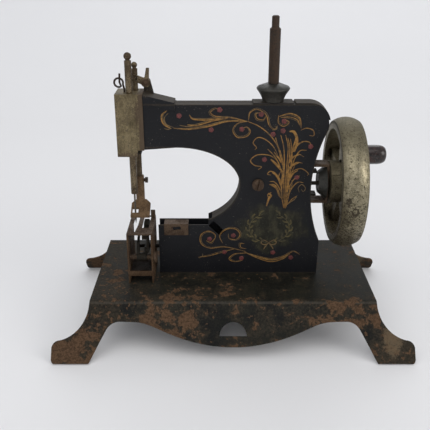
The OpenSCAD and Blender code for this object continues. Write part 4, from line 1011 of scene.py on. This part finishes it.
PLUME_STROKES = [
    (0.6, [(6.9, 112.1), (12.6, 109.6), (17.6, 105.7), (21.6, 100.6), (24.3, 94.7), (26, 85.3)]),
    (0.45, [(33.4, 107.5), (36.4, 108.6), (39.6, 107.5), (40.1, 104.8), (37.9, 104.8)]),
    (0.5, [(31.4, 98.6), (34.3, 101.5), (37.8, 101.5), (39, 99.9)]),
    (0.45, [(29.7, 93.4), (33.1, 95), (35.8, 93.7)]),
    (0.5, [(28.7, 87.7), (31.8, 90.6), (35.3, 90.4)]),
    (0.45, [(28, 82.3), (30.7, 86), (34.8, 87.4), (38.4, 85), (38.1, 83.6)]),
    (0.55, [(22.2, 92), (18.3, 94.5), (12.3, 94.7), (8.9, 91.9), (10.9, 89.2), (14.5, 88.4),
            (12.9, 86.8)]),
    (0.5, [(23.3, 92.7), (20.5, 98.6), (16.5, 102.5), (12.4, 103.8), (10, 101.2), (11.7, 98.6),
           (10.9, 97.6)]),
    (0.5, [(24.9, 80.6), (22.2, 84.5), (19.3, 86), (17.7, 84.5), (19.5, 83.9)]),
    (0.7, [(26.8, 65.6), (25.1, 75.1), (26, 85.3), (23.7, 94.7), (21.1, 103.8)]),
    (0.65, [(27.1, 65.6), (26.3, 78.5), (26.1, 89.4), (25.4, 98.6), (23.6, 105.1)]),
    (0.65, [(27.5, 65.6), (27.2, 78.5), (27.4, 89.4), (27.6, 98.6), (26.1, 105.1)]),
    (0.7, [(27.8, 65.6), (28.3, 75.1), (29.2, 85.3), (29.7, 94.7), (28.6, 103.2)]),
    (0.8, [(28.9, 91.4), (30.1, 98.6), (31.4, 103.8), (30.3, 107), (27.8, 106.9)]),
    (0.5, [(28.1, 66.3), (29.3, 75.1), (28.7, 81.3), (31.5, 89.4)]),
    (0.5, [(23.9, 72.3), (22.5, 76.5), (19.5, 78.5)]),
    (0.6, [(17.8, 66.7), (18.8, 70.9), (18.2, 73), (20, 74.5)]),
    (0.45, [(28.4, 67.4), (30.8, 70.6), (33, 72.3)]),
    (0.5, [(25.6, 78.5), (23.5, 82.6), (24.4, 86)]),
    (0.6, [(26.2, 71.5), (23.8, 77.2), (21.4, 80.2), (19, 80.4)]),
    (0.55, [(28.5, 71), (30.4, 76.6), (33.4, 80), (36.3, 79.8)]),
    (0.6, [(28.6, 76), (31, 81.2), (34.2, 83.6)]),
    (0.6, [(26.2, 80), (24.1, 88), (21.2, 93.6), (17.4, 97.8)]),
    (0.55, [(26.5, 86), (24.8, 93), (22.4, 99.4), (20.2, 102.6)]),
    (0.6, [(27.5, 84), (28.5, 92), (28.4, 98.6), (27.3, 103.6)]),
    (0.55, [(28.8, 84), (31, 92.2), (33.6, 96.8), (37, 97.2)]),
]
BED_STROKES = [
    (0.5, [(-9.1, 47.6), (-9.2, 50.5), (-12.7, 52.2), (-16.4, 50.1), (-16.4, 45.3),
           (-11.8, 42.5), (-3.7, 43.1), (7.7, 40.3)]),
    (0.4, [(-9.1, 48.3), (-11.1, 45.6), (-13.8, 46.8)]),
    (0.5, [(-5.1, 45.3), (-6.6, 49.8), (-3.1, 53.6), (1.8, 53.8), (4.4, 50.5), (2.3, 47.4),
           (-1.4, 48.1), (-2.1, 50.9)]),
    (0.4, [(7.7, 42), (4.7, 42.7), (4.3, 45), (6.6, 45.1)]),
    (0.45, [(-18.2, 36.9), (-12.8, 37.8), (-5.1, 40.1), (1.7, 42)]),
    (0.5, [(7.7, 39.4), (1.7, 38.8), (-1.3, 36), (1.7, 34.3), (5.8, 35)]),
    (0.6, [(6.4, 40.1), (13.2, 37.6), (21.3, 35.6), (28, 37.5), (32.9, 40.5), (36.6, 38.6)]),
    (0.5, [(8.4, 39), (15.2, 36), (21.4, 34.4), (27.4, 36), (31.3, 39)]),
]
BERRIES = [
    (-26.8, 114.8), (-6.8, 117.8), (-11, 107.7), (4.2, 108), (13.6, 115.6), (25.1, 112.1),
    (19.8, 105.4), (24.7, 107.2), (15.9, 92.2), (38.9, 99.1), (32.8, 82.6), (-12, 47.8),
    (0.6, 49.8), (-4, 40), (5.2, 36.3), (22, 39.7), (31.8, 36.7),
]
BERRY_R = 1.4
LEAVES = [
    (1.15, [(25.6, 85.4), (23.4, 88.1), (21.2, 90.5), (19.1, 92.4)]),
    (0.8, [(24.4, 90.5), (23.2, 92.9), (22, 94.3), (20.6, 96.3)]),
    (0.85, [(24.7, 77.8), (23.7, 81.2), (22.2, 83.7), (20, 85.4)]),
    (1.1, [(25, 71.3), (23.2, 75.8), (21.5, 78.3), (18.9, 78.8)]),
    (1.1, [(17.8, 66.9), (18.8, 70.8), (19.9, 72.8), (18.3, 74)]),
    (0.85, [(28.2, 77.8), (29.2, 81.7), (30.9, 84.9), (33.1, 86.4)]),
    (0.95, [(27.2, 84.2), (28.7, 87.6), (30.7, 89.3), (33.6, 90.7)]),
    (0.8, [(28.6, 90.5), (29.6, 92.7), (31.1, 94.1), (33.4, 94.8)]),
    (0.8, [(30.1, 96.3), (31.3, 99.1), (33.1, 100.7), (35.3, 101.7)]),
    (1.3, [(30.8, 96.3), (31.8, 100.5), (31.5, 104.3), (29.8, 106.8), (27.9, 106.9)]),
    (0.9, [(25.6, 72.8), (25.1, 79.8), (25.8, 85.7), (26.3, 90.5)]),
    (0.9, [(27.8, 72.3), (28.1, 78.8), (28.3, 84.7), (28.2, 89.5)]),
]
WISPS = [
    (0.45, [(34.4, 74.5), (33.8, 77), (35.6, 78.8), (37.5, 76.8), (36.5, 74.9), (35.4, 76.2)]),
    (0.5, [(27.8, 67.2), (30, 69), (32.1, 70.5), (33.4, 72.8)]),
    (0.5, [(28.5, 72.8), (29.7, 76.3), (30.5, 78.8), (30.2, 81.2)]),
    (0.45, [(19.3, 107.4), (21.3, 108), (21.6, 109.3), (20.1, 109.7)]),
    (0.45, [(-32, 116.2), (-34, 113.8), (-33.2, 110.6), (-29.6, 108.9)]),
    (0.4, [(-34.2, 108.4), (-32.4, 108), (-30.6, 108.6)]),
    (0.45, [(-26.6, 110), (-22, 109.4), (-17.2, 110.4)]),
    (0.4, [(-17.8, 36.2), (-16, 37.6), (-15.8, 39.2)]),
]
strokes = ARM_STROKES + PLUME_STROKES + BED_STROKES + LEAVES + WISPS
print("strokes", len(strokes), "berries", len(BERRIES))

# %% Paint the scrolls
BRUSH, ECHO, LEAF = 0.5, 0.27, 0.55
SCROLL_LEAN, ECHO_LEAN = -0.2, 0.55


def brushwork(name, rows, width, paint, lean=0.0):
    """One piece from rows of strokes, their widths times width."""
    joined(name, [stroke(line, w * width, lean) for w, line in rows], paint)


brushwork("arm_scrolls", ARM_STROKES, BRUSH, "gilt", SCROLL_LEAN)
brushwork("column_plume", PLUME_STROKES, BRUSH, "gilt")
brushwork("plume_leaves", LEAVES, LEAF, "gilt")
brushwork("bed_vine", BED_STROKES, BRUSH, "gilt", SCROLL_LEAN)
brushwork("scroll_echoes", ARM_STROKES + BED_STROKES, ECHO, "rubbed", ECHO_LEAN)
brushwork("scroll_wisps", WISPS, BRUSH, "rubbed")
joined("berries", [rosette(centre, BERRY_R) for centre in BERRIES], "red")

# %% [markdown]
# ## Wreath
# The worn place on the column holds a plain laurel wreath, the commonest of
# borders. Two branches climb an ellipse from its foot to its head, and short
# leaves leave each branch at a slant, by turns inwards and outwards. A bow ties
# the branches at the foot.

# %% Wreath
WREATH_X, WREATH_Z, WREATH_A, WREATH_B = 19.6, 54.2, 10.6, 8.4
BRANCH_WIDTH, WREATH_LEAF, BOW_WIDTH = 0.22, 0.48, 0.3
LEAF_IN, LEAF_OUT = -1.7, 1.9
LEAF_STEPS = (0.0, 0.0), (0.13, 0.75), (0.3, 1.0)
BOW = [(0.0, -8.6), (-2.8, -7.0), (-4.0, -8.8), (-2.0, -9.8), (0.0, -8.8)]
TAIL = [(-0.2, -9.0), (-1.8, -11.0), (-2.6, -12.6)]


def wreath_point(turn, side, out=0.0):
    """A point on the ellipse at a turn from its foot, moved outwards by out."""
    x = WREATH_X + side * (WREATH_A + out) * math.sin(turn)
    return x, WREATH_Z - (WREATH_B + out) * math.cos(turn)


def wreath():
    """Both branches and their leaves, as brush strokes."""
    strokes = []
    for side in (-1, 1):
        branch = [wreath_point(turn, side) for turn in np.linspace(0.12, 2.8, 9)]
        strokes.append(stroke(branch, BRANCH_WIDTH))
        for k, turn in enumerate(np.linspace(0.3, 2.6, 12)):
            out = LEAF_OUT if k % 2 else LEAF_IN
            leaf = [wreath_point(turn + on, side, out * share) for on, share in LEAF_STEPS]
            strokes.append(stroke(leaf, WREATH_LEAF, 0.0, 12))
    return strokes


def ribbon():
    """The bow and its tails, as brush strokes on both sides of the wreath's foot."""
    lines = [np.array(line) * [side, 1] for side in (-1, 1) for line in (BOW, TAIL)]
    return [stroke(line + [WREATH_X, WREATH_Z], BOW_WIDTH) for line in lines]


joined("column_wreath", wreath(), "olive")
joined("wreath_bow", ribbon(), "rubbed")

# %% [markdown]
# ## Floor and light
# The machine stands on a plain pale dish that curves up far away, so every view
# has the same backdrop. Three large soft lamps and a pale sky give the even
# light of the photograph: one above, one on the right that draws a streak down
# the wheel, and one behind that lightens the shadow under the arches.

# %% Floor
FLOOR_FLAT, FLOOR_BEND = 450.0, 2200.0
FLOOR_TONES = (0.745, 0.745, 0.755), (0.78, 0.78, 0.79)


def make_floor():
    """A wide dish: a flat disc whose rim turns up along an arc, carried round the Z axis."""
    turn = np.linspace(0, 0.45 * math.pi, 24)
    r = np.concatenate([[1.0, 0.6 * FLOOR_FLAT], FLOOR_FLAT + FLOOR_BEND * np.sin(turn)])[:, None]
    z = np.concatenate([[0.0, 0.0], FLOOR_BEND * (1 - np.cos(turn))])[:, None]
    a = np.linspace(0, 2 * math.pi, 96, endpoint=False)
    grid = np.stack([r * np.cos(a), r * np.sin(a), z + 0 * a], -1)
    middle = np.arange(len(a))[::-1].tolist()
    faces = grid_faces(len(r), len(a), wrap_cols=True).tolist() + [middle]
    mesh = bpy.data.meshes.new("floor")
    mesh.from_pydata((grid.reshape(-1, 3) * MM).tolist(), [], faces)
    mesh.shade_smooth()
    fill, place = start_finish("pale_floor")
    soft = place.noise(0.004, 3.0, 0.5)
    mesh.materials.append(fill(Base_Color=soft.mix(*FLOOR_TONES), Roughness=0.75))
    floor = add_object("floor", mesh)
    return floor


floor = make_floor()
print("floor points", len(floor.data.vertices))

# %% Light
SKY_COLOUR, SKY_STRENGTH = (0.95, 0.965, 1.0, 1), 0.68
# Place and target in metres, size in metres, watts and colour.
LAMPS = {
    "key": ((-0.25, -0.7, 1.2), (0, 0, 0.06), 1.3, 6.3, (1.0, 0.985, 0.96)),
    "fill": ((1.35, -0.83, 0.8), (0, 0, 0.07), 0.9, 9.0, (1.0, 0.98, 0.95)),
    "back": ((0.15, 1.3, 1.05), (0, 0, 0.0), 1.0, 4.5, (0.98, 0.99, 1.0)),
}


def softbox(name, place, target, size, watts, colour):
    """A square lamp that looks at the target."""
    lamp = bpy.data.lights.new(name, "AREA")
    lamp.size = size
    lamp.energy = watts
    lamp.color = colour
    holder = add_object(name, lamp)
    holder.location = place
    dx, dy, dz = np.array(target) - np.array(place)
    tilt = math.acos(-dz / math.hypot(dx, dy, dz))
    holder.rotation_euler = (tilt, 0, math.atan2(dx, -dy) + math.pi)
    holder.visible_camera = False


for name, row in LAMPS.items():
    softbox(name, *row)
sky = bpy.data.worlds.new("studio")
sky.use_nodes = True
background = sky.node_tree.nodes["Background"].inputs
background["Color"].default_value = SKY_COLOUR
background["Strength"].default_value = SKY_STRENGTH
bpy.context.scene.world = sky
bpy.context.scene.view_settings.view_transform = "Standard"
bpy.context.scene.view_settings.look = "None"
print("lamps", len(LAMPS), "of", sum(row[3] for row in LAMPS.values()), "W together")

# %% [markdown]
